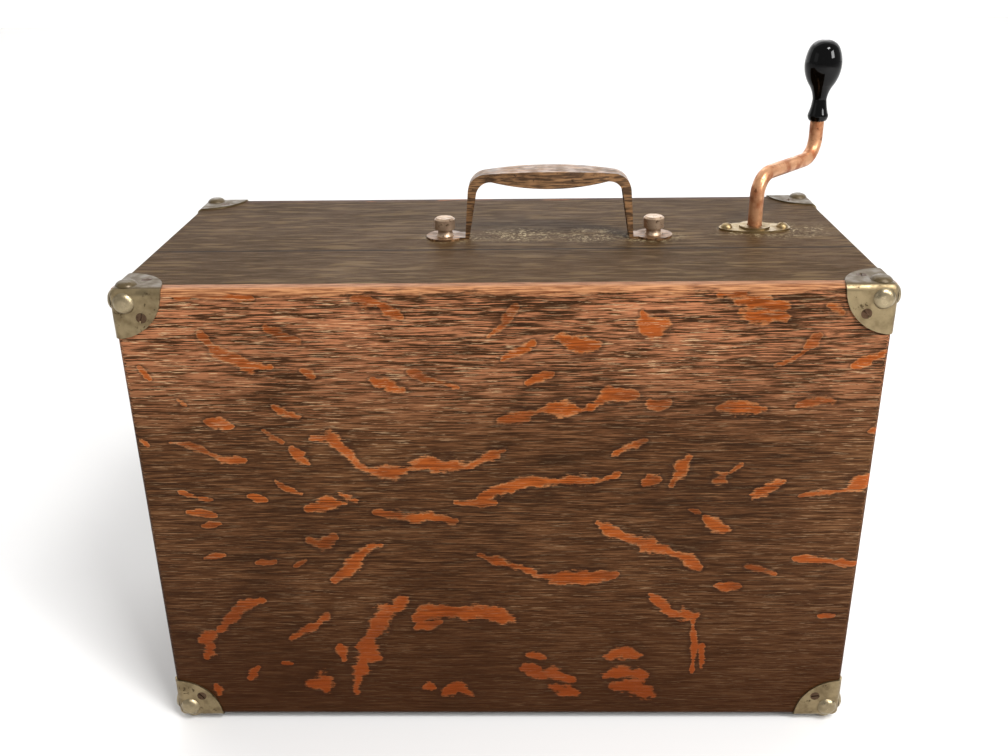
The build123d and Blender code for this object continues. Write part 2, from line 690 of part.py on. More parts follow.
# Barrel arbor with the bevel wheel
apex = DECK * Pos(BARREL_X, BARREL_Z, SHAFT_H)
wheel = bevel(BEVEL_WHEEL, wheel_distance, -90 + 180 / BEVEL_WHEEL)
wheel_back = wheel_distance + 2.2
wheel += rod(12.5, wheel_distance, wheel_back)
arbor = Rot(180, 0, 0) * wheel
arbor += rod(ARBOR_R, BARREL_BOTTOM - 1.5 - SHAFT_H, UPPER_PLATE_Z - 1 - SHAFT_H)
arbor += rod(PIVOT_R, LOWER_PLATE_Z - SHAFT_H, -DECK_T - SHAFT_H)
arbor = apex * arbor

# Barrel with its gear, cover and mainspring
barrel_spot = DECK * Pos(BARREL_X, BARREL_Z, 0)
gear_low = BARREL_TOP - BARREL_GEAR_T
first_angle = degrees(atan2(WHEEL_ZC - BARREL_Z, WHEEL_X - BARREL_X))
barrel_gear = spur(BARREL_TEETH, BARREL_MODULE, gear_low, BARREL_TOP, first_angle)
barrel = barrel_gear + rod(BARREL_R, BARREL_BOTTOM + BARREL_SHELL, gear_low)
barrel -= rod(BARREL_R - BARREL_SHELL, BARREL_BOTTOM, gear_low)
barrel -= rod(ARBOR_R + RUN, BARREL_BOTTOM - 1, 0)
cover = rod(BARREL_R, BARREL_BOTTOM, BARREL_BOTTOM + BARREL_SHELL)
cover -= rod(ARBOR_R + RUN, BARREL_BOTTOM - 5, 0)

spring_r0 = ARBOR_R + 1.2
spring_r1 = BARREL_R - BARREL_SHELL - CLEAR - SPRING_T


def spiral_edge(offset):
    """One long edge of the spiral spring, as half-turn arcs that grow steadily."""
    halves = 2 * SPRING_TURNS
    step = (spring_r1 - spring_r0) / halves
    edges = []
    centre = 0.0
    radius = spring_r0 + offset
    for number in range(halves):
        side = 1 if number % 2 == 0 else -1
        start = (centre + side * radius, 0)
        middle = (centre, side * radius)
        end = (centre - side * radius, 0)
        edges.append(ThreePointArc(start, middle, end))
        centre += side * step
        radius += step
    return edges


inner_edges = spiral_edge(0)
outer_edges = spiral_edge(SPRING_T)
ends = [Line(inner_edges[0] @ 0, outer_edges[0] @ 0), Line(inner_edges[-1] @ 1, outer_edges[-1] @ 1)]
mainspring = extrude(make_face(inner_edges + outer_edges + ends), amount=gear_low - BARREL_BOTTOM - 4)
mainspring = Pos(0, 0, BARREL_BOTTOM + BARREL_SHELL + 1) * mainspring

# Intermediate arbor: pinion at the barrel gear, wheel at the spindle's pinion
wheel_spot = DECK * Pos(WHEEL_X, WHEEL_ZC, 0)
pinion_top = WHEEL_Z
first_phase = first_angle + 180 + 180 / FIRST_PINION
second_angle = degrees(atan2(TABLE_Z - WHEEL_ZC, TABLE_X - WHEEL_X))
intermediate = spur(FIRST_PINION, BARREL_MODULE, gear_low - 1, pinion_top, first_phase)
intermediate += spur(WHEEL_TEETH, WHEEL_MODULE, WHEEL_Z, WHEEL_Z + WHEEL_T, second_angle)
intermediate += rod(3.2, LOWER_PLATE_Z + MOTOR_PLATE_T + 1, UPPER_PLATE_Z - 1)
intermediate += rod(PIVOT_R, LOWER_PLATE_Z, -DECK_T)

# Spindle with its pinion and the governor's gear, platter and felt
table_spot = DECK * Pos(TABLE_X, TABLE_Z, 0)
felt_top = TABLE_TOP + FELT_T
spindle_phase = second_angle + 180 + 180 / SPINDLE_PINION
spindle = rod(SPINDLE_R, LOWER_PLATE_Z + MOTOR_PLATE_T + 0.5, felt_top)
spindle += rod(PIVOT_R, LOWER_PLATE_Z, LOWER_PLATE_Z + 5)
spindle += rod(PIN_R, felt_top - 1, felt_top + PIN_H - 2.0)
spindle += Pos(0, 0, felt_top + PIN_H - 1.0) * Cone(PIN_R, 1.6, 2.0)
spindle += spur(SPINDLE_PINION, WHEEL_MODULE, WHEEL_Z - 1.5, WHEEL_Z + WHEEL_T + 1.5, spindle_phase)
gear_twist = degrees(GOVERNOR_GEAR_T * (WORM_LEAD / (2 * pi * WORM_R)) / GEAR_PITCH_R)
gear_low_z = GOVERNOR_Z - GOVERNOR_GEAR_T / 2
gear_outline = gear_face(GOVERNOR_GEAR, WHEEL_MODULE, share=0.38, head=0.75, foot=1.1)
gear_steps = [Pos(0, 0, GOVERNOR_Z + GOVERNOR_GEAR_T * k / 2) * Rot(0, 0,
                                                                    180 + gear_twist * k / 2) * gear_outline
              for k in (-1, 0, 1)]
governor_gear = loft(gear_steps, ruled=True)
spindle += governor_gear + rod(8.0, gear_low_z - 3, gear_low_z + GOVERNOR_GEAR_T + 3)

hub_low = TABLE_TOP - TABLE_RIM
platter = turned((SPINDLE_R, TABLE_TOP), (TABLE_R - 2.0, TABLE_TOP), (TABLE_R, TABLE_TOP - 2.0),
                 (TABLE_R, hub_low),
                 (TABLE_R - TABLE_T, hub_low), (TABLE_R - TABLE_T, TABLE_TOP - 3.0),
                 (TABLE_R - 3.0, TABLE_TOP - TABLE_T), (14.0, TABLE_TOP - TABLE_T), (14.0, TABLE_TOP - 9.0),
                 (SPINDLE_R, TABLE_TOP - 9.0))
felt = turned((SPINDLE_R + 1.0, TABLE_TOP), (TABLE_R - 3.0, TABLE_TOP), (TABLE_R - 3.4, felt_top),
              (SPINDLE_R + 1.0, felt_top))

# Governor: worm, collar, bowed springs with weights, friction disc


def worm():
    """A right-hand worm with several starts, lofted through turned sections."""
    pitch = WORM_LEAD / WORM_STARTS
    half = 0.40 * pitch / 2
    slope = tan(radians(20))
    tip = WORM_R + 0.9
    root = WORM_R - 1.2

    def lobe(r):
        return 2 * pi * (half - (r - WORM_R) * slope) / WORM_LEAD

    points = []
    for start in range(WORM_STARTS):
        middle = 2 * pi * start / WORM_STARTS
        for r, angle in ((root, -lobe(root)), (tip, -lobe(tip)), (tip, lobe(tip)), (root, lobe(root))):
            points.append((r * cos(middle + angle), r * sin(middle + angle)))
    outline = make_face(Polyline(*points, close=True))
    count = 14
    sections = []
    for number in range(count + 1):
        z = WORM_L * (number / count - 0.5)
        sections.append(Pos(0, 0, z) * Rot(0, 0, 360 * z / WORM_LEAD) * outline)
    return loft(sections, ruled=True)


governor_at = Pos(GOVERNOR_X, Y_DECK - GOVERNOR_Z, 0)
low_pin = GOVERNOR_LOW - 1.5
high_pin = GOVERNOR_HIGH + 1.5
shaft_low = GOVERNOR_LOW + 2.0
shaft_high = GOVERNOR_HIGH - 2.0
governor = Pos(0, 0, TABLE_Z) * Rot(0, 0, 180 / WORM_STARTS) * worm()
governor += rod(GOVERNOR_SHAFT_R, shaft_low, shaft_high)
governor += rod(GOVERNOR_PIVOT_R, low_pin, high_pin)
governor += rod(6.0, GOVERNOR_COLLAR_Z, GOVERNOR_COLLAR_Z + 6)
governor = governor_at * governor
disc = rod(GOVERNOR_DISC_R, GOVERNOR_DISC_Z, GOVERNOR_DISC_Z + 2) + rod(6.0, GOVERNOR_DISC_Z - 8,
                                                                        GOVERNOR_DISC_Z)
disc = governor_at * (disc - rod(GOVERNOR_SHAFT_R + RUN, GOVERNOR_DISC_Z - 9, GOVERNOR_DISC_Z + 3))

# Three bowed leaf springs run from the collar to the disc's hub and carry a weight each.
spring_low = GOVERNOR_COLLAR_Z + 1
spring_high = GOVERNOR_DISC_Z - 1
spring_mid = (spring_low + spring_high) / 2
spring_in = 6.0 + CLEAR / 3


def bowed(x0):
    """The bowed line of a governor spring at a distance from the shaft."""
    knee = x0 + GOVERNOR_BOW - 6.0
    return [(x0, 0, spring_low), (x0, 0, spring_low + 5), (knee, 0, spring_mid - 7),
            (knee, 0, spring_mid + 7),
            (x0, 0, spring_high - 5), (x0, 0, spring_high)]


leaf_line = bowed(spring_in) + bowed(spring_in + GOVERNOR_SPRING_T)[::-1]
leaf_spring = extrude(make_face(Polyline(*leaf_line, close=True)), amount=GOVERNOR_SPRING_W / 2, both=True)
weight_x = spring_in + GOVERNOR_BOW - 6.0 + GOVERNOR_SPRING_T
weight = Pos(weight_x, 0, spring_mid) * Rot(0, 90, 0) * turned(
    (0, 0), (GOVERNOR_WEIGHT_R, 0), (GOVERNOR_WEIGHT_R, 3.4), (GOVERNOR_WEIGHT_R - 1.2, 4.6), (0, 4.6))
springs = [governor_at * Rot(0, 0, 120 * k + 60) * leaf_spring for k in range(3)]
weights = [governor_at * Rot(0, 0, 120 * k + 60) * weight for k in range(3)]

# Motor frame: a cast upper plate under the deck and a lower plate on four pillars
plate_cx = (PLATE_X0 + PLATE_X1) / 2
plate_cz = (PLATE_Z0 + PLATE_Z1) / 2
plate_face = Pos(plate_cx, plate_cz) * RectangleRounded(PLATE_X1 - PLATE_X0, PLATE_Z1 - PLATE_Z0,
                                                        PLATE_ROUND)
pivots = ((TABLE_X, TABLE_Z), (WHEEL_X, WHEEL_ZC), (BARREL_X, BARREL_Z))
pillar_spots = [(x, z) for x in (PLATE_X0 + PILLAR_INSET, PLATE_X1 - PILLAR_INSET)
                for z in (PLATE_Z0 + PILLAR_INSET, PLATE_Z1 - PILLAR_INSET)]
upper_plate = extrude(Pos(0, 0, UPPER_PLATE_Z) * plate_face, amount=MOTOR_PLATE_T)
for z in (178.0, 212.0):
    upper_plate += slab(CRANK_X - 8, CRANK_X + 8, z - 4, z + 4, SHAFT_H - 7, UPPER_PLATE_Z + 0.5)
    bearing = Pos(CRANK_X, z, SHAFT_H) * Rot(90, 0, 0) * rod(ARBOR_R + RUN, -10, 10)
    upper_plate -= bearing
upper_plate -= slab(CRANK_X - 11, CRANK_X + 11, BARREL_Z + 7, BARREL_Z + 21, UPPER_PLATE_Z - 1, 0)
lower_plate = extrude(Pos(0, 0, LOWER_PLATE_Z) * plate_face, amount=MOTOR_PLATE_T)
for z in (GOVERNOR_LOW, GOVERNOR_HIGH):
    lug = slab(GOVERNOR_X - 5, GOVERNOR_X + 5, z - 1.5, z + 1.5, LOWER_PLATE_Z + 1, GOVERNOR_Z)
    lug += Pos(GOVERNOR_X, z, GOVERNOR_Z) * Rot(90, 0, 0) * rod(5.0, -1.5, 1.5)
    lug -= Pos(GOVERNOR_X, z, GOVERNOR_Z) * Rot(90, 0, 0) * rod(GOVERNOR_PIVOT_R + RUN, -5, 5)
    lower_plate += lug
for x, z in pivots:
    lower_plate -= rod(PIVOT_R + RUN, LOWER_PLATE_Z - 1, LOWER_PLATE_Z + 5, x, z)
upper_plate -= rod(SPINDLE_R + RUN, UPPER_PLATE_Z - 1, 0, TABLE_X, TABLE_Z)
for x, z in pivots[1:]:
    upper_plate -= rod(PIVOT_R + RUN, UPPER_PLATE_Z - 1, 0, x, z)
windows = [Pos(100.0, 118.0) * RectangleRounded(60, 24, 6), Pos(100.0, 203.0) * RectangleRounded(60, 24, 6)]
for window in windows:
    lower_plate -= extrude(Pos(0, 0, LOWER_PLATE_Z - 1) * window, amount=5)
pillars = [rod(PILLAR_R, LOWER_PLATE_Z + MOTOR_PLATE_T, UPPER_PLATE_Z, x, z) for x, z in pillar_spots]
motor_screw = turned((0, 2.0), (3.6, 1.2), (4.0, 0), (1.8, 0), (1.8, -DECK_T - MOTOR_PLATE_T),
                     (0, -DECK_T - MOTOR_PLATE_T))
motor_screw -= slab(-5, 5, -SLOT_W / 2, SLOT_W / 2, 1.2, 5)
screw_spots = [(PLATE_X0 + 20, PLATE_Z0 + 7), (PLATE_X1 - 20, PLATE_Z0 + 7), (PLATE_X1 - 20, PLATE_Z1 - 7)]
motor_screws = [Pos(x, z, 0) * Rot(0, 0, 25 * (k + 1)) * motor_screw for k,
                (x, z) in enumerate(screw_spots)]
motor_holes = [rod(1.8, -40, 0.5, x, z) for x, z in screw_spots]
for hole in motor_holes:
    upper_plate -= hole

# Deck board with its openings, on cleats along the walls
x_in = X_SIDE - WALL - DECK_GAP
z_in0 = Z_BASE + WALL + DECK_GAP
z_in1 = Z_TOP - WALL - DECK_GAP
deck = slab(-x_in, x_in, z_in0, z_in1, -DECK_T, 0)
mouth = Pos((HORN_X0 + HORN_X1) / 2, (HORN_Z0 + HORN_Z1) / 2) * RectangleRounded(
    HORN_X1 - HORN_X0 - 2 * HORN_T, HORN_Z1 - HORN_Z0 - 2 * HORN_T, 10)
deck -= extrude(Pos(0, 0, -DECK_T - 1) * mouth, amount=DECK_T + 2)
deck -= rod(SPINDLE_R + 1.0, -20, 5, TABLE_X, TABLE_Z)
for x, z in pivots[1:]:
    deck -= rod(PIVOT_R + 1.0, -20, -DECK_T + 1.0, x, z)
deck -= rod(THROAT_R + ARM_WALL, -20, 5, ARM_X, ARM_Z)
for x, z in CUPS:
    deck -= rod(CUP_R, -20, 5, x, z)
for hole in motor_holes:
    deck -= hole
for x in foot_xs:
    deck -= slab(x - THUMB_NUT_R - 1, x + THUMB_NUT_R + 1, Z_TOP - WALL - THUMB_NUT_T - 1, Z_TOP,
                 -DECK_T - 1, 1)
cleats = []
cleat_z = -DECK_T - CLEAT
wall_x = X_SIDE - WALL
for side in (-1, 1):
    x0 = side * wall_x
    x1 = side * (wall_x - CLEAT)
    cleats.append(slab(min(x0, x1), max(x0, x1), CLEAT_LOW, CLEAT_HIGH, cleat_z, -DECK_T))
cleats.append(slab(-80, 110, Z_BASE + WALL, Z_BASE + WALL + CLEAT, cleat_z, -DECK_T))
cleats.append(slab(-15, 70, Z_TOP - WALL - CLEAT, Z_TOP - WALL, cleat_z, -DECK_T))

# Folded horn: a widening duct under the deck whose mouth opens through it


def duct(inset, over):
    """The horn's outer or inner body as two lofts: the neck, then the mouth chamber."""
    def section(z, x0, x1, floor, top):
        face = make_face(Polyline((x0 + inset, floor + inset), (x1 - inset, floor + inset),
                                  (x1 - inset, top - inset), (x0 + inset, top - inset), close=True))
        return Plane(origin=(0, z, 0), x_dir=(1, 0, 0), z_dir=(0, -1, 0)) * face
    neck_x0 = ARM_X - HORN_NECK_W / 2
    neck_x1 = ARM_X + HORN_NECK_W / 2
    top = -DECK_T
    neck = loft([section(ARM_Z - HORN_NECK_W / 2 + inset, neck_x0, neck_x1, HORN_NECK_FLOOR, top),
                 section(ARM_Z + HORN_NECK_W / 2, neck_x0, neck_x1, HORN_NECK_FLOOR, top),
                 section(HORN_Z0 - over, HORN_X0, HORN_X1, HORN_FLOOR + 26, top)], ruled=True)
    chamber = loft([section(HORN_Z0 - over, HORN_X0, HORN_X1, HORN_FLOOR + 26, top),
                    section(HORN_Z1 - 30, HORN_X0, HORN_X1, HORN_FLOOR, top),
                    section(HORN_Z1 - inset, HORN_X0, HORN_X1, HORN_FLOOR, top)], ruled=True)
    return neck + chamber


horn = duct(0, 0) - duct(HORN_T, 0)
horn -= extrude(Pos(0, 0, -DECK_T - 5) * mouth, amount=10)
horn -= rod(THROAT_R + ARM_WALL, -DECK_T - 3, 0, ARM_X, ARM_Z)

# Tone arm base with its throat, and the arm turning in it
base = turned((THROAT_R, -THROAT_DROP), (THROAT_R + ARM_WALL - 0.02, -THROAT_DROP),
              (THROAT_R + ARM_WALL - 0.02, 0),
              (BASE_R, 0), (BASE_R, BASE_T - 1), (BASE_R - 1, BASE_T), (ARM_ROOT_R + BASE_WALL, BASE_T + 2),
              (ARM_ROOT_R + BASE_WALL, BASE_NECK_H), (ARM_ROOT_R + RUN, BASE_NECK_H),
              (ARM_ROOT_R + RUN, 2.0), (THROAT_R, 2.0))
base = DECK * Pos(ARM_X, ARM_Z, 0) * base
arm_frame = DECK * Pos(ARM_X, ARM_Z, 0) * Rot(0, 0, ARM_PARK)
neck_start = ARM_REACH - NECK_BEND_R - NECK_SLEEVE


def arm_shape(root_r, tip_r, z0, over):
    """The arm's outer or inner form: upright root, elbow, then a taper to the gooseneck."""
    elbow_line = FilletPolyline((0, 0, z0), (0, 0, ARM_H), (ARM_ELBOW_R + 8, 0, ARM_H), radius=ARM_ELBOW_R)
    elbow = sweep(Plane(origin=elbow_line @ 0, z_dir=elbow_line % 0) * Circle(root_r), path=elbow_line)
    x0 = ARM_ELBOW_R + 8
    x1 = neck_start + over
    taper = Pos((x0 + x1) / 2, 0, ARM_H) * Rot(0, 90, 0) * Cone(root_r, tip_r, x1 - x0)
    return elbow + taper


tonearm = arm_shape(ARM_ROOT_R, ARM_TIP_R, 2.0 + CLEAR, 0)
tonearm -= arm_shape(ARM_ROOT_R - ARM_WALL, ARM_TIP_R - ARM_WALL, 0, 1)
tonearm += Pos(neck_start - 4, 0, ARM_H) * Rot(0, 90,
                                               0) * (rod(ARM_TIP_R + 1.2, 0, 4) - rod(ARM_TIP_R - 0.5, -1,
                                                                                      5))
tonearm = arm_frame * tonearm

# Gooseneck: a sleeve on the arm's end, a bend, and the boss for the sound box
neck_line = FilletPolyline((neck_start + CLEAR, 0, ARM_H), (ARM_REACH, 0, ARM_H),
                           (ARM_REACH, 0, ARM_H - NECK_DROP),
                           radius=NECK_BEND_R)
neck_solid = sweep(Plane(origin=neck_line @ 0, z_dir=neck_line % 0) * Circle(NECK_R), path=neck_line)
neck_inner = sweep(Plane(origin=neck_line @ 0, z_dir=neck_line % 0) * Circle(NECK_R - NECK_WALL),
                   path=neck_line)
spigot = Pos(neck_start - 8, 0, ARM_H) * Rot(0, 90, 0) * rod(ARM_TIP_R - ARM_WALL - RUN, 0, 9 + CLEAR)
gooseneck = arm_frame * ((neck_solid + spigot) - neck_inner
                         - Pos(neck_start - 9, 0, ARM_H) * Rot(0, 90, 0) * rod(ARM_TIP_R - 2 * ARM_WALL, 0,
                                                                               14))

# Sound box, face down in the stored place
box_frame = arm_frame * Pos(ARM_REACH, 0, ARM_H - NECK_DROP) * Rot(180, 0, 0)
shell = turned((NECK_R - NECK_WALL, 0), (NECK_R + 4, 0), (NECK_R + 5, 2.5), (BOX_R - 2, 3.5), (BOX_R, 5.5),
               (BOX_R, BOX_T), (BOX_R - BOX_RIM, BOX_T),
               (BOX_R - BOX_RIM, BOX_T - BOX_WINDOW - DIAPHRAGM_T),
               (BOX_R - BOX_RIM - 2, BOX_T - BOX_WINDOW - DIAPHRAGM_T), (BOX_R - BOX_RIM - 2, 6.5),
               (NECK_R - NECK_WALL, 4.5))
lug_y = BOX_R - 1
bracket = slab(-4, 4, lug_y - 3, lug_y + 4, BOX_T - 5, BOX_T + 0.6)
shell += bracket
diaphragm = rod(BOX_R - BOX_RIM, BOX_T - BOX_WINDOW - DIAPHRAGM_T, BOX_T - BOX_WINDOW)
shell = box_frame * shell
diaphragm = box_frame * diaphragm
bar_z = BOX_T + 2.4
stylus = Pos(0, lug_y / 2, bar_z) * Box(1.6, lug_y + 1, 1.4)
stylus += Pos(0, lug_y + 1, bar_z + 1.0) * Box(6, 7, 5)
stylus += rod(0.8, BOX_T - BOX_WINDOW, bar_z + 0.5)
needle_line = Pos(0, lug_y + 3, bar_z + 1.0) * Rot(-90, 0, 0)
stylus += needle_line * turned((0, 0), (2.4, 0), (2.4, 4.5), (NEEDLE_R, 4.5), (NEEDLE_R, STYLUS_REACH - 4),
                               (0.1, STYLUS_REACH), (0, STYLUS_REACH))
stylus = box_frame * stylus
screw_frame = box_frame * Pos(3.0, lug_y + 1.5, bar_z + 1.0) * Rot(0, 90, 0)
needle_screw = screw_frame * turned((0, CLEAR / 3), (1.6, CLEAR / 3), (1.6, 2.5), (3.2, 2.5), (3.2, 6.0),
                                    (2.6, 6.8), (0, 6.8))

# Rest that the parked arm leans on
rest_frame = arm_frame * Pos(REST_AT, 0, 0)
x_share = (REST_AT - ARM_ELBOW_R - 8) / (neck_start - ARM_ELBOW_R - 8)
rest_r = ARM_ROOT_R + (ARM_TIP_R - ARM_ROOT_R) * x_share + CLEAR
rest = slab(-REST_W / 2, REST_W / 2, -6, rest_r + 3, 0, 2.5)
rest += slab(-REST_W / 2, REST_W / 2, -3, rest_r + 3, 0, ARM_H - rest_r)
rest += slab(-REST_W / 2, REST_W / 2, rest_r - 3, rest_r + 3, 0, ARM_H + 4)
rest -= Pos(0, 0, ARM_H) * Rot(0, 90, 0) * rod(rest_r, -20, 20)
rest = rest_frame * rest

# Needle cups let into the deck
cup = turned((0, -CUP_DEPTH), (CUP_R - CUP_LIP, -CUP_DEPTH), (CUP_R, -CUP_DEPTH + CUP_LIP), (CUP_R, 0),
             (CUP_R + CUP_LIP, 0), (CUP_R + CUP_LIP, CUP_T), (CUP_R - CUP_T, CUP_T),
             (CUP_R - CUP_T, -CUP_DEPTH + CUP_LIP), (CUP_R - CUP_LIP - 0.4, -CUP_DEPTH + CUP_T),
             (0, -CUP_DEPTH + CUP_T))
cups = [DECK * Pos(x, z, 0) * cup for x, z in CUPS]

# Brake lever with its pad against the platter's rim
pivot_angle = radians(BRAKE_PIVOT_AT)
pad_angle = radians(BRAKE_PAD_AT)
brake_x = TABLE_X + BRAKE_REACH * cos(pivot_angle)
brake_z = TABLE_Z + BRAKE_REACH * sin(pivot_angle)
pad_x = TABLE_X + TABLE_R * cos(pad_angle)
pad_z = TABLE_Z + TABLE_R * sin(pad_angle)
lever_line = atan2(pad_z - brake_z, pad_x - brake_x)
lever_l = hypot(pad_x - brake_x, pad_z - brake_z)
brake = slab(-18, lever_l + 1, -4, 4, BRAKE_Z, BRAKE_Z + LEVER_T)
brake += rod(7.0, BRAKE_Z - 3, BRAKE_Z + LEVER_T) + rod(5.0, BRAKE_Z, BRAKE_Z + LEVER_T + 4, -15, 0)
brake = Rot(0, 0, degrees(lever_line)) * brake
brake = Pos(brake_x, brake_z, 0) * brake
pad = Pos(pad_x, pad_z, 0) * Rot(0, 0, BRAKE_PAD_AT) * slab(CLEAR, 7, -7, 7, BRAKE_Z - 1, BRAKE_Z + 6)
brake += pad
brake -= rod(TABLE_R + CLEAR, -5, 30, TABLE_X, TABLE_Z)
brake -= rod(2.5 + RUN, -5, 30, brake_x, brake_z)
brake = DECK * brake

# Speed lever: a pointer over its scale, a shaft through the deck, an arm to the governor's disc
speed_shaft_r = 3.0
pad_dx = GOVERNOR_X + PAD_OFF - SPEED_X
pad_dz = GOVERNOR_DISC_Z + 2.0 + SPEED_GAP + PAD_HALF - SPEED_Z
elbow_dz = -6.0
speed = rod(speed_shaft_r, GOVERNOR_Z - 2, POINTER_Z + LEVER_T)
speed += rod(6.0, POINTER_Z, POINTER_Z + LEVER_T + 1.5)
pointer = make_face(Polyline((-9, -3.2), (4, -4), (POINTER_L, -1), (POINTER_L + 2, 0), (POINTER_L, 1),
                             (4, 4),
                             (-9, 3.2), close=True))
speed += Pos(0, 0, POINTER_Z) * extrude(Rot(0, 0, 90) * pointer, amount=LEVER_T)
speed += rod(3.2, POINTER_Z, POINTER_Z + 7.7, 0, 8)
arm_low = GOVERNOR_Z - 2
arm_high = GOVERNOR_Z + 2
arm_angle = degrees(atan2(elbow_dz, pad_dx))
speed += Rot(0, 0, arm_angle) * slab(0, hypot(pad_dx, elbow_dz), -2, 2, arm_low, arm_high)
speed += rod(2.0, arm_low, arm_high, pad_dx, elbow_dz)
speed += slab(pad_dx - 2, pad_dx + 2, pad_dz, elbow_dz, arm_low, arm_high)
speed += rod(5.0, arm_low, arm_high)
speed += slab(pad_dx - PAD_HALF, pad_dx + PAD_HALF, pad_dz - PAD_HALF, pad_dz + PAD_HALF,
              arm_low - 2, arm_high + 2)
speed_place = DECK * Pos(SPEED_X, SPEED_Z, 0)
speed = speed_place * speed
deck -= rod(speed_shaft_r + RUN, -20, 5, SPEED_X, SPEED_Z)

# Brake post and arm feet meet the deck, and every fixing gets its hole
brake_post = rod(5.0, 0, BRAKE_Z - 3 - CLEAR / 3, brake_x, brake_z)
brake_post += rod(2.5, 0, BRAKE_Z + LEVER_T + 1, brake_x, brake_z)
brake_post = DECK * brake_post
deck = DECK * deck
cleats = [DECK * cleat for cleat in cleats]
horn = DECK * horn
barrel = barrel_spot * barrel
cover = barrel_spot * cover
mainspring = barrel_spot * mainspring
intermediate = wheel_spot * intermediate
spindle = table_spot * spindle
platter = table_spot * platter
felt = table_spot * felt
upper_plate = DECK * upper_plate
lower_plate = DECK * lower_plate
pillars = [DECK * pillar for pillar in pillars]
motor_screws = [DECK * screw for screw in motor_screws]

lid_cuts = fixing_holes[-1]
body_cuts = fixing_holes[1]
top_cuts = body_cuts + thumb_holes + plate_screw_holes + [bush_hole]
lid_caps = corner_caps(-1)
body_caps = corner_caps(1)
cap_cuts = {side: [on_face(f, STUD_INSET, CAP_T) * rod(NAIL_R, -3, 1) for f in corner_frames(side)]
            + [on_face(f, SCREW_INSET, CAP_T) * flat_screw_hole() for f in corner_frames(side)] for side in (-1, 1)}
for side, caps in ((-1, lid_caps), (1, body_caps)):
    for number, cap in enumerate(caps):
        caps[number] = drilled(cap, cap_cuts[side])
stud_shapes = (stud(STUD_H), stud(FOOT_STUD_H))
studs = {side: [on_face(f, STUD_INSET, CAP_T) * stud_shapes[f[1].Z < -0.5] for f in corner_frames(side)]
         for side in (-1, 1)}
screws = {side: [on_face(f, SCREW_INSET, CAP_T) * Rot(0, 0, 40 * k) * flat_screw()
                 for k, f in enumerate(corner_frames(side))] for side in (-1, 1)}

save("lid_panel", drilled(lid_panel, lid_cuts))
save("lid_end_boards", drilled(lid_top, lid_cuts), drilled(lid_bottom, lid_cuts))
save("lid_side_boards", drilled(lid_left, lid_cuts), drilled(lid_right, lid_cuts))
save("lid_corner_caps", *lid_caps)
save("lid_corner_studs", *studs[-1])
save("lid_corner_screws", *screws[-1])
save("lid_hinge_leaves", *lid_leaves)
save("catch_studs", *catch_studs)
save("back_panel", drilled(back_panel, body_cuts))
save("body_top_board", drilled(body_top, top_cuts))
save("body_bottom_board", drilled(body_bottom, body_cuts))
save("body_side_boards", drilled(body_left, body_cuts), drilled(body_right, body_cuts))
save("body_corner_caps", *body_caps)
save("body_corner_studs", *studs[1])
save("body_corner_screws", *screws[1])
save("body_hinge_leaves", *body_leaves)
save("hinge_pins", *hinge_pins)
save("catch_plates", *catch_plates)
save("catch_hook_lower", hooks[0])
save("catch_hook_upper", hooks[1])
save("handle", handle)
save("handle_nuts", *nuts)
save("thumb_screw_left", Pos(foot_xs[0], 0, Z_TOP) * thumb_screw())
save("thumb_screw_right", Pos(foot_xs[1], 0, Z_TOP) * thumb_screw())
save("crank_escutcheon", escutcheon)
save("escutcheon_screws", *plate_screws)
save("crank_rod", crank)
save("crank_knob", knob)
save("winding_shaft", winding)
save("barrel_arbor", arbor)
save("spring_barrel", barrel)
save("barrel_cover", cover)
save("mainspring", mainspring)
save("intermediate_arbor", intermediate)
save("spindle", spindle)
save("turntable_platter", platter)
save("turntable_felt", felt)
save("governor_shaft", governor)
save("governor_disc", disc)
save("governor_springs", *springs)
save("governor_weights", *weights)
save("motor_upper_plate", upper_plate)
save("motor_lower_plate", lower_plate)
save("motor_pillars", *pillars)
save("motor_screws", *motor_screws)
save("motor_board", deck)
save("board_cleats", *cleats)
save("horn", horn)
save("arm_base", base)
save("tone_arm", tonearm)
save("gooseneck", gooseneck)
save("sound_box", shell)
save("diaphragm", diaphragm)
save("stylus_bar", stylus)
save("needle_screw", needle_screw)
save("arm_rest", rest)
save("needle_cups", *cups)
save("brake_lever", brake)
save("brake_post", brake_post)
save("speed_lever", speed)
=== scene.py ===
import bpy
import math
from mathutils import Matrix, Vector


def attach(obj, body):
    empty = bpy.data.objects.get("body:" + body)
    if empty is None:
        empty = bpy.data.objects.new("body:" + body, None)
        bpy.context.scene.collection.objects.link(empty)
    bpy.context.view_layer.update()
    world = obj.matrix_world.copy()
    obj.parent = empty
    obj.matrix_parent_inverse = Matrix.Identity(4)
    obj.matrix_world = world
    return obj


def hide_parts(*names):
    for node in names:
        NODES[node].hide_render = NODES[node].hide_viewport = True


# Portable wind-up phonograph: looks over the CAD frame, in metres.
# X right along the lid face, Y from the lid to the back, Z up to the handle.

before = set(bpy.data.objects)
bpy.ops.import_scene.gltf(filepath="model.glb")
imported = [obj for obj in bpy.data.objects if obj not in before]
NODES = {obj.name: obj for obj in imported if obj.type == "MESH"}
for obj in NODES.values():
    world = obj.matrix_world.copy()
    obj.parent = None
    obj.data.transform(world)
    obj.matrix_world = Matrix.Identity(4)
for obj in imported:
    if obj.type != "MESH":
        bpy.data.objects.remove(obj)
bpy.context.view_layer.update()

# Places taken from the CAD, in metres
CASE_HALF = 0.206
LID_FACE = -0.097
SEAM = -0.027
BASE_Z = 0.0045
TOP_Z = 0.2865
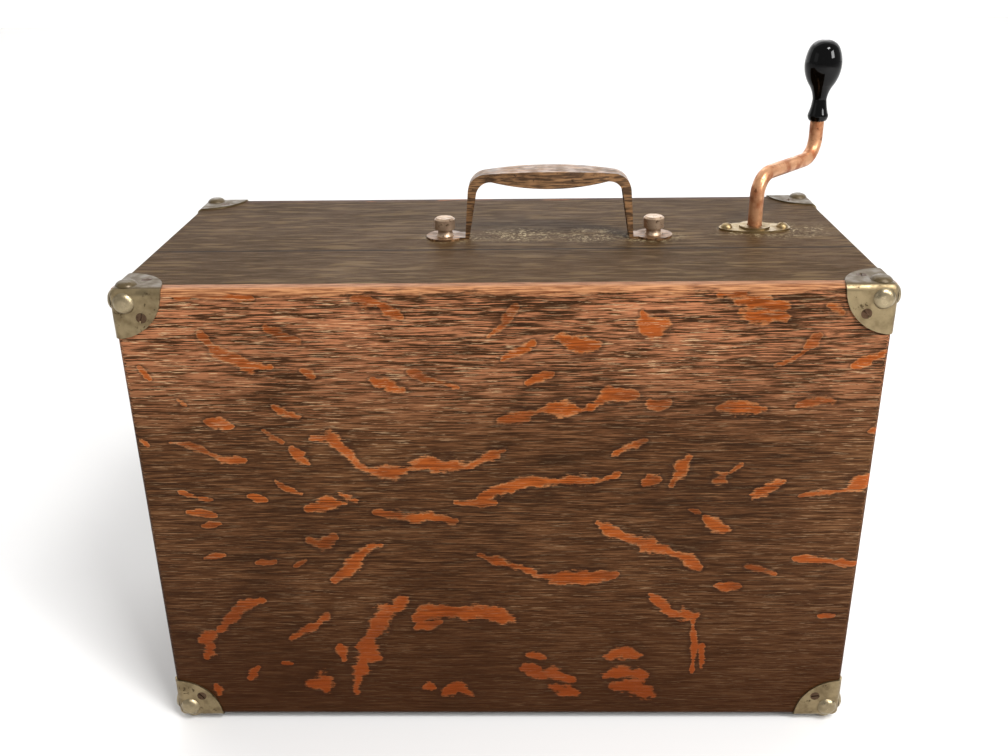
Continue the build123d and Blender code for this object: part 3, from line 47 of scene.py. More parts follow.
# Dust on the top: x, y and reach, about the crank's plate, the handle's feet and between them
DUST = ((0.150, 0.008, 0.032), (0.172, 0.010, 0.040), (-0.030, -0.002, 0.026), (0.086, -0.002, 0.030),
        (0.010, 0.004, 0.036), (0.050, 0.002, 0.034))


# Settings that many nodes share: a smooth step from one value to another, and a mix of two colours.
# A Map Range node's first sockets are the value, from low, from high, to low and to high.
# A colour mix has its colours in sockets 6 and 7 and its result in output 2.
SMOOTH = {"interpolation_type": "SMOOTHSTEP"}
COLOURS = {"data_type": "RGBA", "output": 2}


def srgb(code):
    """A linear RGBA tuple from an sRGB hex code such as "8A6F4D"."""
    parts = [int(code[i:i + 2], 16) / 255 for i in (0, 2, 4)]
    linear = [c / 12.92 if c <= 0.04045 else ((c + 0.055) / 1.055) ** 2.4 for c in parts]
    return (*linear, 1.0)


class Finish:
    """A node material in the making."""

    def __init__(self, name):
        self.material = bpy.data.materials.new(name)
        self.material.use_nodes = True
        self.tree = self.material.node_tree
        self.tree.nodes.clear()
        self.surface = self.tree.nodes.new("ShaderNodeBsdfPrincipled")
        self.add("OutputMaterial", (self.surface.outputs[0],), output=None)

    def fill(self, node, values):
        """Fills a node's sockets with constants, hex codes or other nodes' outputs."""
        for key, value in values.items() if isinstance(values, dict) else enumerate(values):
            if isinstance(value, bpy.types.NodeSocket):
                self.tree.links.new(value, node.inputs[key])
            else:
                node.inputs[key].default_value = srgb(value) if isinstance(value, str) else value

    def add(self, kind, values=(), output=0, **settings):
        """Adds a node with its settings and links, and gives back one of its outputs.

        values fills the first sockets in order, or the sockets it names.
        """
        node = self.tree.nodes.new("ShaderNode" + kind)
        for setting, value in settings.items():
            setattr(node, setting, value)
        self.fill(node, values)
        return None if output is None else node.outputs[output]

    def place(self, scale=(1, 1, 1), turn=(0, 0, 0), shift=(0, 0, 0)):
        """Object coordinates, scaled, turned and shifted."""
        return self.add("Mapping", {"Vector": self.add("TexCoord", output="Object"), "Location": shift,
                                    "Rotation": turn, "Scale": scale})

    def done(self, **sockets):
        """Fills the surface's sockets. An underscore in a name stands for a space."""
        self.fill(self.surface, {name.replace("_", " "): value for name, value in sockets.items()})
        return self.material


def oak(name, along, dark="2C190A", mid="482C16", pale="66482C", flecks=1.0, seed=0.0, drawn=False,
        dusty=False, shine=0.07):
    """Stained quarter-sawn oak. along is the axis the grain runs on: 0 for X, 1 for Y, 2 for Z.

    flecks is how strongly the medullary rays show, and at 0 there are faint silver ones instead.
    drawn takes the rays from the mesh's "fleck" attribute and adds the lid's wear at the top edge,
    a painted highlight on the upper third and painted shade towards the foot; otherwise they are
    scattered. dusty strews pale dust about the handle's feet and the crank's plate.
    """
    wood = Finish(name)
    add, place = wood.add, wood.place

    def stretched(across, shift=(0, 0, 0)):
        """Coordinates in which a pattern comes out long on the grain's axis and narrow across it."""
        scale = [across, across, across]
        scale[along] = 1.0
        return place(scale=scale, shift=shift)

    # Coarse grain: lines 1 to 3 mm apart, some 40 mm long
    coarse = add("TexNoise", {"Vector": stretched(14.0, (seed, seed * 1.7, seed * 0.6)), "Scale": 26.0,
                              "Detail": 6.0, "Roughness": 0.68, "Distortion": 0.5})
    # Fine pores: lines 0.3 to 0.6 mm apart, some 15 mm long
    fine = add("TexNoise", {"Vector": stretched(30.0, (seed, 0, seed)), "Scale": 62.0,
                            "Detail": 4.0, "Roughness": 0.6, "Distortion": 0.2})
    # Slow changes of shade across 100 mm
    clouds = add("TexNoise", {"Vector": place(shift=(seed, 0, seed)), "Scale": 9.0, "Detail": 3.0})
    coarse_share = add("Math", (coarse, 0.32), operation="MULTIPLY")
    fine_share = add("Math", (fine, 0.68), operation="MULTIPLY")
    grain = add("Math", (coarse_share, fine_share), operation="ADD")
    cloud_share = add("MapRange", (clouds, 0.3, 0.7, -0.03, 0.03), **SMOOTH)
    grain = add("Math", (grain, cloud_share), operation="ADD")
    not_dark = add("MapRange", (grain, 0.4, 0.54), **SMOOTH)
    colour = add("Mix", {"Factor": not_dark, 6: dark, 7: mid}, **COLOURS)
    palest = add("MapRange", (grain, 0.53, 0.64), **SMOOTH)
    colour = add("Mix", {"Factor": palest, 6: colour, 7: pale}, **COLOURS)
    # Open pores: pale scratches 0.5 mm wide and 5 to 12 mm long
    pores = add("TexNoise", {"Vector": stretched(20.0, (seed, seed, 0)), "Scale": 80.0,
                             "Detail": 3.0, "Roughness": 0.65, "Distortion": 0.3})
    scratches = add("MapRange", (pores, 0.58, 0.66), **SMOOTH)
    height = add("SeparateXYZ", (place(),), output="Z")
    if drawn:
        # The rays of the lid: 1 on a ray's middle line, 0 at its rim
        depth = add("Attribute", output="Fac", attribute_name="fleck")
        # They swell and narrow every 15 mm, and their rims fray by 4 mm and by the pores
        swell = add("TexNoise", {"Vector": place(scale=(1.0, 1.0, 1.5)), "Scale": 75.0,
                                 "Detail": 2.0, "Roughness": 0.5, "Distortion": 0.3})
        fray = add("TexNoise", {"Vector": place(scale=(1.0, 1.0, 1.6)), "Scale": 240.0,
                                "Detail": 3.0, "Roughness": 0.6, "Distortion": 0.4})
        for ragged, low, high in ((swell, -0.45, 0.75), (fray, -0.3, 0.3), (fine, -0.28, 0.28)):
            change = add("MapRange", (ragged, 0.3, 0.7, low, high), **SMOOTH)
            depth = add("Math", (depth, change), operation="ADD")
        # Painted highlight: the upper third is paler on the ridges of the grain, standing in for the glare
        # of the light
        upper = add("MapRange", (height, 0.185, 0.28, 0.06, 1.0), **SMOOTH)
        ridges = add("MapRange", (grain, 0.47, 0.58), **SMOOTH)
        wear_and_glare = add("Math", (upper, ridges), operation="MULTIPLY")
        colour = add("Mix", {"Factor": wear_and_glare, 6: colour, 7: "A46A48"}, **COLOURS)
        scratch_upper = add("MapRange", (height, 0.18, 0.26, 0.35, 1.0), **SMOOTH)
        scratch_clouds = add("MapRange", (clouds, 0.38, 0.6, 0.4, 1.0), **SMOOTH)
        scratch_share = add("Math", (scratch_upper, scratch_clouds), operation="MULTIPLY")
    else:
        # Scattered rays some 15 mm long, lying slantwise
        slant = [0.0, 0.0, 0.0]
        slant[1 if along != 1 else 2] = 0.32
        long_scale = [5.2, 5.2, 5.2]
        long_scale[along] = 1.0
        where = place(scale=long_scale, turn=slant, shift=(seed * 2.3, seed, seed * 1.3))
        shape = add("TexNoise", {"Vector": where, "Scale": 15.0,
                                 "Detail": 3.0, "Roughness": 0.55, "Distortion": 1.1})
        depth = add("Math", (shape, 0.61), operation="SUBTRACT")
        depth = add("Math", (depth, 9.0), operation="MULTIPLY")
        scratch_share = 0.25

    # A ray: dark just outside, a pale rim, brown-orange inside with the grain's fine lines
    lines = add("MapRange", (fine, 0.38, 0.62), **SMOOTH)
    ray = add("Mix", {"Factor": lines, 6: "5A280A", 7: "964A18"}, **COLOURS)
    bright = add("MapRange", (clouds, 0.4, 0.62, 0.0, 0.45), **SMOOTH)
    ray = add("Mix", {"Factor": bright, 6: ray, 7: "9A4C1E"}, **COLOURS)
    near_rim = add("MapRange", (depth, 0.55, 0.1), **SMOOTH)
    rim_lines = add("MapRange", (fine, 0.42, 0.58, 0.1, 0.7), **SMOOTH)
    rim = add("Math", (near_rim, rim_lines), operation="MULTIPLY")
    ray = add("Mix", {"Factor": rim, 6: ray, 7: "AC784C"}, **COLOURS)
    outside = add("MapRange", (depth, -1.9, -0.3, 0.0, 0.5), **SMOOTH)
    outside = add("Math", (outside, flecks), operation="MULTIPLY")
    colour = add("Mix", {"Factor": outside, 6: colour, 7: "24140A"}, **COLOURS)
    # Some rays show strongly and others fade into the ground, changing every 35 mm
    fading = add("TexNoise", {"Vector": place(shift=(seed, 3.0, seed)), "Scale": 28.0, "Detail": 2.0})
    strength = add("MapRange", (fading, 0.36, 0.56, 0.5, 0.97), **SMOOTH)
    strength = add("Math", (strength, flecks), operation="MULTIPLY")
    inside = add("MapRange", (depth, -0.35, 0.25), **SMOOTH)
    inside = add("Math", (inside, strength), operation="MULTIPLY")
    colour = add("Mix", {"Factor": inside, 6: colour, 7: ray}, **COLOURS)
    scratches = add("Math", (scratches, scratch_share), operation="MULTIPLY")
    colour = add("Mix", {"Factor": scratches, 6: colour, 7: "BC9A74" if drawn else pale}, **COLOURS)

    if not flecks:
        # Faint slanting silver rays, 4 mm by 30 mm
        figure = add("TexNoise", {"Vector": place(scale=(1.0, 7.0, 1.0), turn=(0.0, 0.0, 0.5)),
                                  "Scale": 34.0, "Detail": 3.0, "Roughness": 0.5, "Distortion": 0.4})
        silver = add("MapRange", (figure, 0.52, 0.66, 0.0, 0.35), **SMOOTH)
        colour = add("Mix", {"Factor": silver, 6: colour, 7: "7A6446"}, **COLOURS)
    if drawn:
        # Wear bares a reddish wood within 3 mm of the top edge
        ragged = add("TexNoise", {"Vector": place(scale=(1, 4, 4)), "Scale": 30.0,
                                  "Detail": 5.0, "Roughness": 0.65})
        ragged = add("MapRange", (ragged, 0.3, 0.7, -0.003, 0.003), **SMOOTH)
        edge = add("Math", (height, ragged), operation="ADD")
        edge = add("MapRange", (edge, 0.2825, 0.2845), **SMOOTH)
        bare_lines = add("MapRange", (fine, 0.4, 0.6), **SMOOTH)
        bare = add("Mix", {"Factor": bare_lines, 6: "6A3E24", 7: "B07C54"}, **COLOURS)
        colour = add("Mix", {"Factor": edge, 6: colour, 7: bare}, **COLOURS)
        # Painted shade: the colour turns darker and redder towards the foot, where the light falls off
        foot = add("MapRange", (height, 0.17, 0.0, 0.0, 0.75), **SMOOTH)
        foot_rays = add("MapRange", (depth, -0.3, 0.3), **SMOOTH)
        stain_and_shade = add("Mix", {"Factor": foot_rays, 6: "301602", 7: "6E2C06"}, **COLOURS)
        colour = add("Mix", {"Factor": foot, 6: colour, 7: stain_and_shade}, **COLOURS)
    else:
        # The lid's seam, a dark line 1.6 mm wide
        away = add("SeparateXYZ", (place(),), output="Y")
        away = add("Math", (away, SEAM), operation="SUBTRACT")
        away = add("Math", (away,), operation="ABSOLUTE")
        seam = add("MapRange", (away, 0.0012, 0.0005), **SMOOTH)
        colour = add("Mix", {"Factor": seam, 6: colour, 7: "0E0805"}, **COLOURS)
    if dusty:
        near = 0.0
        for x, y, reach in DUST:
            around = place(scale=(1, 1.6, 1), shift=(-x, -y * 1.6, -TOP_Z))
            away = add("VectorMath", (around,), output="Value", operation="LENGTH")
            heap = add("MapRange", (away, reach, 0.004), **SMOOTH)
            near = add("Math", (near, heap), operation="MAXIMUM")
        # Grains of dust, 0.5 to 1.5 mm, in drifts some 10 mm across
        drifts = add("TexNoise", {"Vector": place(), "Scale": 70.0, "Detail": 3.0, "Roughness": 0.6})
        drifts = add("MapRange", (drifts, 0.35, 0.62, 0.15, 1.0), **SMOOTH)
        grains = add("TexNoise", {"Vector": place(), "Scale": 480.0, "Detail": 3.0, "Roughness": 0.75})
        grains = add("MapRange", (grains, 0.5, 0.6), **SMOOTH)
        dust = add("Math", (grains, drifts), operation="MULTIPLY")
        dust = add("Math", (dust, near), operation="MULTIPLY")
        dust = add("Math", (dust, 0.8), operation="MULTIPLY")
        colour = add("Mix", {"Factor": dust, 6: colour, 7: "B4A482"}, **COLOURS)
    # The dark hollows of the grain are the roughest; the relief is 0.6 mm at most
    roughness = add("MapRange", (grain, 0.4, 0.62, 0.62, 0.45), **SMOOTH)
    relief = add("Bump", {"Height": grain, "Distance": 0.0006, "Strength": 0.5})
    return wood.done(Base_Color=colour, Roughness=roughness, Specular_IOR_Level=shine, Normal=relief)


def aged_metal(name, base, dull, rough=0.3, patch=60.0, dull_share=0.5, stain_and_shade=None, metallic=1.0,
               lines=0.0, shaded_top=False):
    """Aged metal whose bright colour is broken by duller patches.

    A patch is about 1 / patch metres across. lines is the share of dark lines worn along X.
    With the last flag set, what lies above the case's top is darkened and dulled as painted shade on the
    upper plates.
    """
    skin = Finish(name)
    add, place = skin.add, skin.place
    patches = add("TexNoise", {"Vector": place(), "Scale": patch, "Detail": 5.0, "Roughness": 0.6})
    patches = add("MapRange", (patches, 0.38, 0.68, 0.0, dull_share), **SMOOTH)
    colour = add("Mix", {"Factor": patches, 6: base, 7: dull}, **COLOURS)
    if stain_and_shade:
        # Small dark spots, 1 to 3 mm
        spots = add("TexNoise", {"Vector": place(), "Scale": 260.0, "Detail": 4.0, "Roughness": 0.6})
        spots = add("MapRange", (spots, 0.62, 0.7, 0.0, 0.85), **SMOOTH)
        colour = add("Mix", {"Factor": spots, 6: colour, 7: stain_and_shade}, **COLOURS)
    if lines:
        # Lines 1 mm apart, some 20 mm long
        wear_and_glare = add("TexNoise", {"Vector": place(scale=(1.0, 18.0, 18.0)), "Scale": 50.0,
                                "Detail": 3.0, "Roughness": 0.6})
        wear_and_glare = add("MapRange", (wear_and_glare, 0.42, 0.6, lines, 0.0), **SMOOTH)
        colour = add("Mix", {"Factor": wear_and_glare, 6: colour, 7: "2A1C12"}, **COLOURS)
    if shaded_top:
        # Painted shade: the upper plates above the case's top are darkened and made less metallic
        height = add("SeparateXYZ", (place(),), output="Z")
        above = add("MapRange", (height, TOP_Z + 0.0002, TOP_Z + 0.0006), **SMOOTH)
        top_shade = add("Math", (above, 0.9), operation="MULTIPLY")
        colour = add("Mix", {"Factor": top_shade, 6: colour, 7: "44361F"}, **COLOURS)
        lost = add("Math", (above, 0.75), operation="MULTIPLY")
        metallic = add("Math", (metallic, lost), operation="SUBTRACT")
    smears = add("TexNoise", {"Vector": place(), "Scale": patch * 2, "Detail": 4.0})
    roughness = add("MapRange", (smears, 0.3, 0.7, rough * 0.7, rough * 1.4), **SMOOTH)
    # Pits 2 mm wide and 0.3 mm high
    pits = add("TexNoise", {"Vector": place(scale=(1, 1, 6)), "Scale": 500.0, "Detail": 2.0})
    relief = add("Bump", {"Height": pits, "Distance": 0.00003, "Strength": 0.35})
    return skin.done(Base_Color=colour, Metallic=metallic, Roughness=roughness, Specular_IOR_Level=0.3,
                     Normal=relief)


def plain(name, colour, rough, **more):
    """An even finish for small or hidden pieces."""
    return Finish(name).done(Base_Color=colour, Roughness=rough, **more)


MATERIALS = {
    # Oak stained dark brown, ray flecks standing out orange where the stain didn't take; scratched pores
    "front_oak": oak("Stained oak, lid face", 0, drawn=True),
    # The ends' boards: the same stain, greyed by age, without strong rays
    "end_oak": oak("Stained oak, ends", 0, seed=3.1, dark="32230F", mid="44301A", pale="54402A",
                   flecks=0.0, shine=0.03),
    # The end that lies on top has gathered pale dust about its fittings
    "top_oak": oak("Stained oak, dusty top", 0, seed=3.1, dark="32230F", mid="44301A", pale="54402A",
                   flecks=0.0, dusty=True, shine=0.03),
    # Boards whose grain runs from lid to back, with weaker rays
    "side_oak": oak("Stained oak, sides", 1, seed=5.7, flecks=0.6),
    "back_oak": oak("Stained oak, back", 0, seed=8.3),
    # The sheltered motor board kept a lighter, redder stain
    "deck": oak("Stained oak, motor board", 0, seed=11.9, dark="4A2814", mid="6A3E20", pale="8A5C36",
                flecks=0.5),
    # Bare pine, pale yellow with a soft grain
    "pine": oak("Pine strip", 0, seed=2.0, dark="8E6C48", mid="AE8A60", pale="C2A27A", flecks=0.0),
    # Pressed brass gone dull olive, with painted shade darkening the plates on top, and small brown spots
    "cap_brass": aged_metal("Aged brass, corner caps", "8E7E60", "64543C", 0.42, 90.0, 0.7, "3E3020",
                            shaded_top=True),
    # Rubbed brass domes, brighter than the caps, with painted shade darkening those on top
    "stud_brass": aged_metal("Worn brass, studs", "9C8E72", "6E6048", 0.36, 120.0, 0.5,
                             shaded_top=True),
    # Steel screws oxidised to a dark brown
    "dark_screw": aged_metal("Oxidised steel, screws", "5A4636", "3A2A1E", 0.5, 200.0, 0.6),
    # Brass-plated steel worn to grey, with dark spots
    "hinge_steel": aged_metal("Worn brassed steel, hinges and catches", "8A7E62", "544A38", 0.32, 80.0, 0.6,
                              "2E241A"),
    # Copper plate gone brown, with dark lines worn along the grip
    "coppered": aged_metal("Copper-plated steel, handle", "946E4A", "5A4028", 0.42, 70.0, 0.7, "30221A",
                           metallic=0.4, lines=0.8),
    # Nickel worn through to copper: a pale tan with brown spots
    "thumb_steel": aged_metal("Tarnished nickel on copper, thumb screws", "AC947C", "7C6450", 0.38, 160.0,
                              0.7, "4E3A2A", metallic=0.7),
    # Copper plate with patches of rust, half matt
    "crank_steel": aged_metal("Copper-plated steel with rust, crank", "C08E68", "8A4E2C", 0.4, 110.0, 0.9,
                              "5E341C", metallic=0.6),
    # Stamped brass, dull yellow with brown spots
    "plate_brass": aged_metal("Aged brass, escutcheon", "96825E", "6A583C", 0.42, 110.0, 0.6, "4A3620"),
    # Bright milled steel under a film of old oil
    "motor_steel": aged_metal("Milled steel, motor", "B4B2AE", "8A8680", 0.3, 60.0, 0.4),
    # Machined brass, still yellow inside the case
    "motor_brass": aged_metal("Cut brass, gears", "C8A45C", "9A7A40", 0.28, 60.0, 0.4),
    # Baked enamel on pressed plates, an even half gloss
    "cast_frame": plain("Black enamel, motor plates", "1A1A1C", 0.38),
    # Spring steel blued by heat
    "spring_steel": aged_metal("Blued steel, springs", "4A5468", "2C3240", 0.25, 60.0, 0.4),
    # Enamelled sheet, black with a little brown
    "horn_enamel": plain("Black enamel, horn", "16120F", 0.4),
    # Nickel plate, bright and warm, with yellow-brown blemishes
    "nickel": aged_metal("Worn nickel plate", "C8C2B8", "8E8678", 0.18, 60.0, 0.35, "5A4C38"),
    # The platter's pressed steel with its nickel rim
    "platter": aged_metal("Nickelled sheet steel, turntable", "BAB4AA", "8C867C", 0.25, 50.0, 0.4),
    # Wool felt, matt, with the soft sheen of its nap
    "felt": plain("Green wool felt", "1E3A26", 0.95, Sheen_Weight=0.6, Sheen_Roughness=0.5),
    # A thin glossy sheet of mica, yellowish and partly clear
    "mica": plain("Mica sheet", "C8B898", 0.15, Alpha=0.8),
    # Turned wood under many coats of black lacquer, with small sharp highlights
    "black_lacquer": plain("Black gloss lacquer, knob", "010101", 0.06, Specular_IOR_Level=0.2),
}

BY_NODE = {
    "front_oak": ["lid_panel"],
    "end_oak": ["lid_end_boards", "body_bottom_board"],
    "top_oak": ["body_top_board"],
    "side_oak": ["lid_side_boards", "body_side_boards"],
    "back_oak": ["back_panel"],
    "deck": ["motor_board"],
    "pine": ["board_cleats"],
    "cap_brass": ["lid_corner_caps", "body_corner_caps"],
    "stud_brass": ["lid_corner_studs", "body_corner_studs"],
    "dark_screw": ["lid_corner_screws", "body_corner_screws", "handle_nuts", "motor_screws"],
    "hinge_steel": ["lid_hinge_leaves", "body_hinge_leaves", "hinge_pins", "catch_studs", "catch_plates",
                    "catch_hook_lower", "catch_hook_upper"],
    "coppered": ["handle"],
    "thumb_steel": ["thumb_screw_left", "thumb_screw_right"],
    "crank_steel": ["crank_rod"],
    "black_lacquer": ["crank_knob"],
    "plate_brass": ["crank_escutcheon", "escutcheon_screws"],
    "motor_steel": ["winding_shaft", "barrel_arbor", "intermediate_arbor", "spindle", "governor_shaft",
                    "motor_pillars", "barrel_cover"],
    "motor_brass": ["spring_barrel", "governor_disc", "governor_weights"],
    "cast_frame": ["motor_upper_plate", "motor_lower_plate"],
    "spring_steel": ["mainspring", "governor_springs"],
    "horn_enamel": ["horn"],
    "nickel": ["arm_base", "tone_arm", "gooseneck", "sound_box", "stylus_bar", "needle_screw", "arm_rest",
               "needle_cups", "brake_lever", "brake_post", "speed_lever"],
    "platter": ["turntable_platter"],
    "felt": ["turntable_felt"],
    "mica": ["diaphragm"],
}
for look, names in BY_NODE.items():
    for name in names:
        node = NODES[name]
        node.data.materials.clear()
        node.data.materials.append(MATERIALS[look])


# The lid panel with its ray flecks, drawn as strokes read from the photo.
# The photo's camera: its place, its roll, yaw and pitch in degrees, its focal length in pixels,
# and the photo's width and middle in pixels
CAMERA_PLACE = Vector((0.0107, -0.6132, 0.4606))
CAMERA_TURNS = (-0.30, 1.01, 23.58)
CAMERA_PIXELS = 1042.1
PHOTO_WIDTH = 1008
PHOTO_MIDDLE = (504, 378)
SENSOR_WIDTH = 36.0


def camera_axes():
    """The columns right, up and back of the photo's camera, which was solved from the case's corners."""
    roll, yaw, pitch = (math.radians(angle) for angle in CAMERA_TURNS)
    turn = Matrix.Rotation(roll, 3, "Z") @ Matrix.Rotation(yaw, 3, "Y") @ Matrix.Rotation(pitch, 3, "X")
    rows = turn @ Matrix(((1, 0, 0), (0, 0, -1), (0, 1, 0)))
    return Matrix((rows[0], -rows[1], -rows[2])).transposed()


def lid_spot(px, py):
    """The point (x, z) on the lid's face that the photo shows at a pixel."""
    ray = camera_axes() @ Vector(((px - PHOTO_MIDDLE[0]) / CAMERA_PIXELS,
                                  (PHOTO_MIDDLE[1] - py) / CAMERA_PIXELS, -1))
    point = CAMERA_PLACE + ray * ((LID_FACE - CAMERA_PLACE.y) / ray.y)
    return point.x, point.z


# Each stroke, read off: its width in photo pixels, then the pixels it runs through
STROKES = (
    (7, (200, 334), (213, 348), (228, 358), (250, 367), (270, 368)),
    (7, (266, 329), (283, 335), (298, 341)), (9, (355, 299), (375, 301)),
    (6, (375, 301), (390, 311), (400, 317)), (6, (488, 336), (505, 324), (516, 306)),
    (7, (503, 359), (520, 352), (532, 344)), (7, (303, 371), (312, 377)),
    (8, (374, 380), (388, 386), (402, 391)), (6, (408, 371), (430, 380), (458, 387)),
    (5, (178, 400), (186, 406)), (7, (206, 421), (220, 424), (230, 427)),
    (6, (274, 407), (288, 414), (298, 417)), (5, (262, 430), (272, 436), (282, 442)),
    (5, (170, 442), (190, 445), (210, 453)), (6, (210, 453), (222, 460), (245, 460)),
    (7, (292, 450), (300, 457), (308, 464)), (9, (312, 438), (330, 438), (342, 448), (358, 466)),
    (9, (358, 466), (375, 473), (395, 474), (410, 468)),
    (10, (410, 468), (430, 464), (450, 466), (468, 467)), (7, (468, 467), (482, 459), (505, 450)),
    (5, (275, 481), (285, 489), (302, 494)), (4, (180, 492), (200, 498), (212, 500)),
    (5, (250, 496), (265, 500)), (8, (308, 509), (325, 504), (345, 503)), (6, (340, 494), (356, 501)),
    (7, (376, 513), (405, 517), (430, 518), (455, 521)), (9, (310, 540), (322, 543), (334, 537)),
    (8, (333, 580), (346, 571), (358, 558), (368, 547), (380, 545)), (6, (258, 563), (275, 562)),
    (5, (295, 566), (306, 561)), (4, (205, 558), (225, 555)), (4, (203, 526), (220, 524)),
    (7, (480, 554), (498, 562), (520, 567), (535, 573)),
    (9, (535, 575), (560, 578), (590, 577), (615, 575)), (5, (455, 503), (480, 503), (495, 503)),
    (8, (480, 498), (505, 490), (525, 484), (560, 480)), (8, (560, 480), (585, 481), (600, 481)),
    (5, (600, 481), (612, 477), (620, 473)), (8, (500, 420), (520, 417), (540, 411)),
    (10, (540, 411), (560, 410), (580, 410)), (10, (598, 402), (612, 395), (636, 395)),
    (6, (582, 411), (598, 404)), (8, (650, 403), (660, 407), (668, 402)),
    (9, (562, 340), (580, 345), (598, 345)), (6, (556, 338), (570, 338)),
    (11, (640, 322), (655, 329), (664, 324)), (5, (642, 313), (646, 320)),
    (6, (528, 383), (540, 377), (552, 373)), (6, (612, 455), (626, 448), (646, 440)),
    (8, (645, 483), (660, 478)), (8, (671, 485), (680, 470), (690, 458)), (11, (717, 480), (726, 474)),
    (5, (730, 473), (742, 464)), (7, (752, 495), (768, 490), (785, 481)), (5, (752, 499), (760, 494)),
    (4, (688, 509), (700, 513)), (8, (705, 517), (716, 525), (730, 531)),
    (9, (718, 409), (736, 409), (765, 409)), (7, (800, 405), (818, 401), (835, 401)),
    (7, (808, 347), (815, 341), (820, 336)), (4, (775, 365), (792, 361), (804, 352)),
    (7, (855, 366), (868, 361), (885, 352)), (5, (800, 496), (820, 493), (845, 490)),
    (9, (845, 490), (858, 485), (868, 478)), (7, (597, 523), (612, 531), (622, 536)),
    (11, (628, 538), (645, 543), (665, 549)), (8, (668, 551), (685, 558), (698, 567)),
    (6, (745, 566), (760, 569), (775, 574)), (8, (715, 586), (728, 586), (737, 586)),
    (6, (795, 559), (815, 559), (835, 562)), (5, (835, 562), (856, 564)), (5, (820, 616), (833, 616)),
    (7, (650, 594), (662, 604), (672, 613)), (10, (672, 613), (685, 614), (694, 616)),
    (5, (693, 620), (694, 645), (692, 672)), (5, (702, 645), (701, 668)), (13, (203, 640), (212, 635)),
    (9, (212, 645), (207, 658)), (8, (220, 630), (232, 618), (243, 606), (262, 601)),
    (8, (292, 638), (305, 630), (318, 624)), (8, (320, 622), (328, 614)),
    (13, (372, 637), (385, 617), (402, 600)), (14, (372, 637), (366, 655), (375, 660)),
    (10, (366, 655), (360, 675), (356, 690)), (8, (340, 645), (343, 658)),
    (12, (418, 618), (432, 612), (455, 611)), (14, (455, 611), (485, 614), (512, 619)),
    (8, (416, 628), (440, 622)), (14, (310, 684), (322, 682), (326, 690)), (7, (258, 668), (250, 678)),
    (9, (425, 687), (432, 686)), (10, (445, 692), (458, 688), (472, 694)), (7, (216, 684), (220, 694)),
    (4, (283, 663), (292, 664)), (12, (525, 668), (545, 673), (570, 680)), (10, (550, 686), (575, 692)),
    (8, (528, 655), (545, 658)), (12, (610, 655), (625, 650), (635, 655)),
    (9, (605, 676), (625, 671), (645, 676)), (14, (612, 686), (640, 688), (652, 693)),
    (10, (738, 303), (760, 303), (785, 306)), (10, (740, 312), (760, 315), (785, 317)),
    (8, (832, 306), (842, 313)), (6, (175, 296), (200, 295), (225, 297), (250, 298)),
    (6, (720, 294), (745, 293)), (4, (139, 367), (150, 380)), (4, (140, 440), (148, 446)),
    (5, (215, 515), (188, 512)), (4, (868, 432), (880, 429)),
)
PIXEL = 0.0006  # about what one photo pixel covers on the lid
GRID = 0.0012
ROUND_OVER = 0.003
PANEL_T = 0.009
FAR_FROM_STROKES = -3.0


def stroke_depth(x, z, strokes):
    """How deep a point lies in its nearest stroke: 1 at the middle line, 0 at the rim, less outside.

    A stroke tapers from its middle to 65 percent of its width at its ends.
    """
    best = FAR_FROM_STROKES
    for half, points in strokes:
        for step, ((ax, az), (bx, bz)) in enumerate(zip(points, points[1:])):
            dx, dz = bx - ax, bz - az
            along = max(0.0, min(1.0, ((x - ax) * dx + (z - az) * dz) / (dx * dx + dz * dz)))
            away = math.hypot(x - ax - dx * along, z - az - dz * along)
            taper = 0.65 + 0.5 * math.sin(math.pi * (step + along) / (len(points) - 1))
            best = max(best, 1.0 - away / (half * taper))
    return best


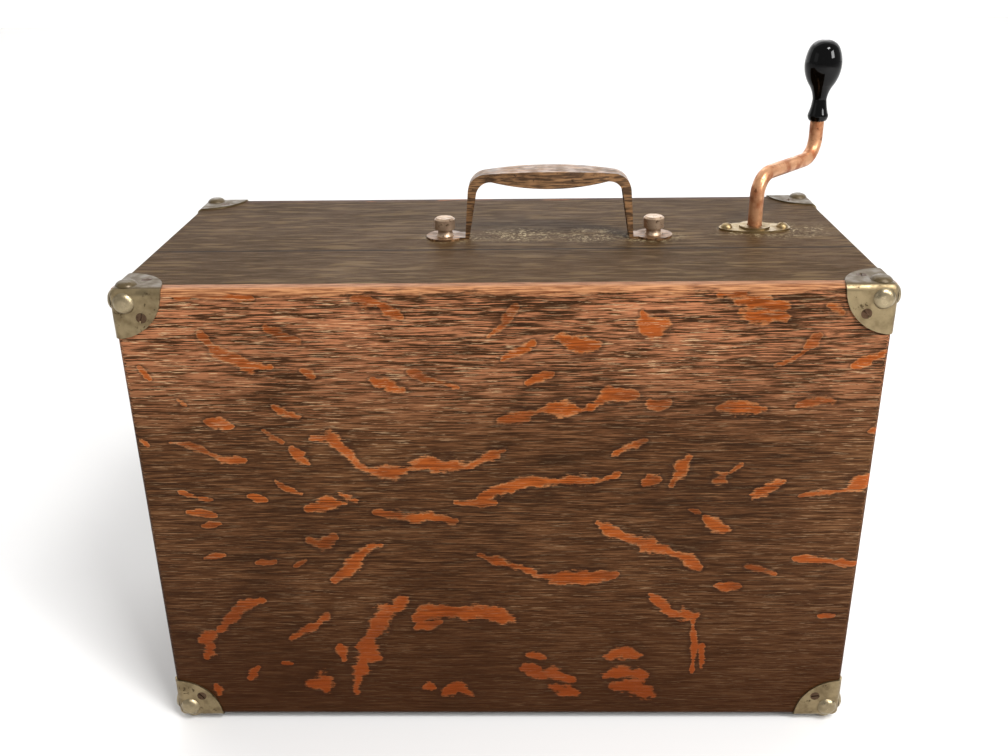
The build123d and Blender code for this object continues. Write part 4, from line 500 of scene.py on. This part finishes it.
def lid_face():
    """The lid panel as a fine grid that carries the depth of the flecks at each point."""
    strokes = []
    for width, *pixels in STROKES:
        points = [lid_spot(px, py) for px, py in pixels]
        strokes.append((width * 0.5 * PIXEL, points))
    # The box about each stroke, outside which it is left out of the search
    boxes = []
    for half, points in strokes:
        across = [x for x, _ in points]
        up = [z for _, z in points]
        boxes.append((min(across) - 3 * half, max(across) + 3 * half, min(up) - 3 * half,
                      max(up) + 3 * half))

    def ticks(low, high):
        """Even steps, with three finer ones over each rounded edge."""
        count = round((high - low - 2 * ROUND_OVER) / GRID)
        inner = [low + ROUND_OVER + (high - low - 2 * ROUND_OVER) * k / count for k in range(count + 1)]
        edge = [ROUND_OVER * (1 - math.cos(math.radians(a))) for a in (0, 25, 50, 70)]
        return [low + e for e in edge] + inner + [high - e for e in reversed(edge)]

    # The face, whose points draw back within ROUND_OVER of the panel's outline
    xs = ticks(-CASE_HALF, CASE_HALF)
    zs = ticks(BASE_Z, TOP_Z)
    vertices = []
    depths = []
    for z in zs:
        dz = max(0.0, BASE_Z + ROUND_OVER - z, z - TOP_Z + ROUND_OVER)
        for x in xs:
            dx = max(0.0, abs(x) - CASE_HALF + ROUND_OVER)
            drop = min(ROUND_OVER, math.hypot(dx, dz))
            vertices.append((x, LID_FACE + ROUND_OVER - math.sqrt(ROUND_OVER ** 2 - drop ** 2), z))
            near = [stroke for stroke, (left, right, low, high) in zip(strokes, boxes)
                    if left < x < right and low < z < high]
            depths.append(stroke_depth(x, z, near))
    wide = len(xs)
    faces = [(r * wide + c, r * wide + c + 1, (r + 1) * wide + c + 1, (r + 1) * wide + c)
             for r in range(len(zs) - 1) for c in range(wide - 1)]
    # The edges, from the face's rim to the back, and the back
    last = (len(zs) - 1) * wide
    rim = ([c for c in range(wide)] + [r * wide + wide - 1 for r in range(1, len(zs))]
           + [last + c for c in range(wide - 2, -1, -1)] + [r * wide for r in range(len(zs) - 2, 0, -1)])
    back = len(vertices)
    for k in rim:
        x, _, z = vertices[k]
        vertices.append((x, LID_FACE + PANEL_T, z))
        depths.append(FAR_FROM_STROKES)
    for k in range(len(rim)):
        after = (k + 1) % len(rim)
        faces.append((rim[after], rim[k], back + k, back + after))
    faces.append(tuple(back + k for k in reversed(range(len(rim)))))
    mesh = bpy.data.meshes.new("lid_panel_face")
    mesh.from_pydata(vertices, [], faces)
    mesh.update()
    mesh.attributes.new("fleck", "FLOAT", "POINT").data.foreach_set("value", depths)
    for polygon in mesh.polygons[:-1]:
        polygon.use_smooth = True
    panel = bpy.data.objects.new("lid_panel_face", mesh)
    bpy.context.scene.collection.objects.link(panel)
    mesh.materials.append(MATERIALS["front_oak"])
    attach(panel, "lid")
    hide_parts("lid_panel")


lid_face()


# Floor, lights and camera

def backdrop():
    """A pale floor, and a bright wall far behind it."""
    bpy.ops.mesh.primitive_plane_add(size=30, location=(0, 0, 0))
    floor = bpy.context.object
    floor.name = "floor"
    floor.data.materials.append(plain("Pale floor", "DFDEDD", 0.9))
    bpy.ops.mesh.primitive_plane_add(size=24, location=(0, 5, 10), rotation=(math.radians(90), 0, 0))
    wall = bpy.context.object
    wall.name = "wall"
    wall.data.materials.append(plain("Lit wall", "FFFFFF", 1.0, Emission_Color="FFFFFF",
                                     Emission_Strength=0.9))


def area_light(name, place, aim, size, power):
    """A square soft light that faces a point."""
    data = bpy.data.lights.new(name, "AREA")
    data.size = size
    data.energy = power
    light = bpy.data.objects.new(name, data)
    light.location = place
    light.rotation_euler = (Vector(aim) - Vector(place)).to_track_quat("-Z", "Y").to_euler()
    bpy.context.scene.collection.objects.link(light)


backdrop()
MIDDLE = (0, 0, 0.15)
area_light("soft light above", (0.7, -1.0, 1.8), MIDDLE, size=0.55, power=35)
area_light("window from the left", (-1.9, -0.9, 1.0), MIDDLE, size=1.0, power=1.5)
area_light("window from the right", (1.6, -1.3, 1.2), MIDDLE, size=0.7, power=31)
area_light("light over the far floor", (0.0, 3.0, 2.6), (0, 3.4, 0), size=3.0, power=60)

scene = bpy.context.scene
scene.world = scene.world or bpy.data.worlds.new("Studio")
scene.world.use_nodes = True
scene.world.node_tree.nodes["Background"].inputs[0].default_value = srgb("FFFFFF")
scene.world.node_tree.nodes["Background"].inputs[1].default_value = 0.45
scene.view_settings.view_transform = "Standard"

camera_data = bpy.data.cameras.new("photo view")
camera_data.sensor_width = SENSOR_WIDTH
camera_data.lens = CAMERA_PIXELS * SENSOR_WIDTH / PHOTO_WIDTH
camera = bpy.data.objects.new("photo view", camera_data)
camera.matrix_world = Matrix.Translation(CAMERA_PLACE) @ camera_axes().to_4x4()
scene.collection.objects.link(camera)
scene.camera = camera
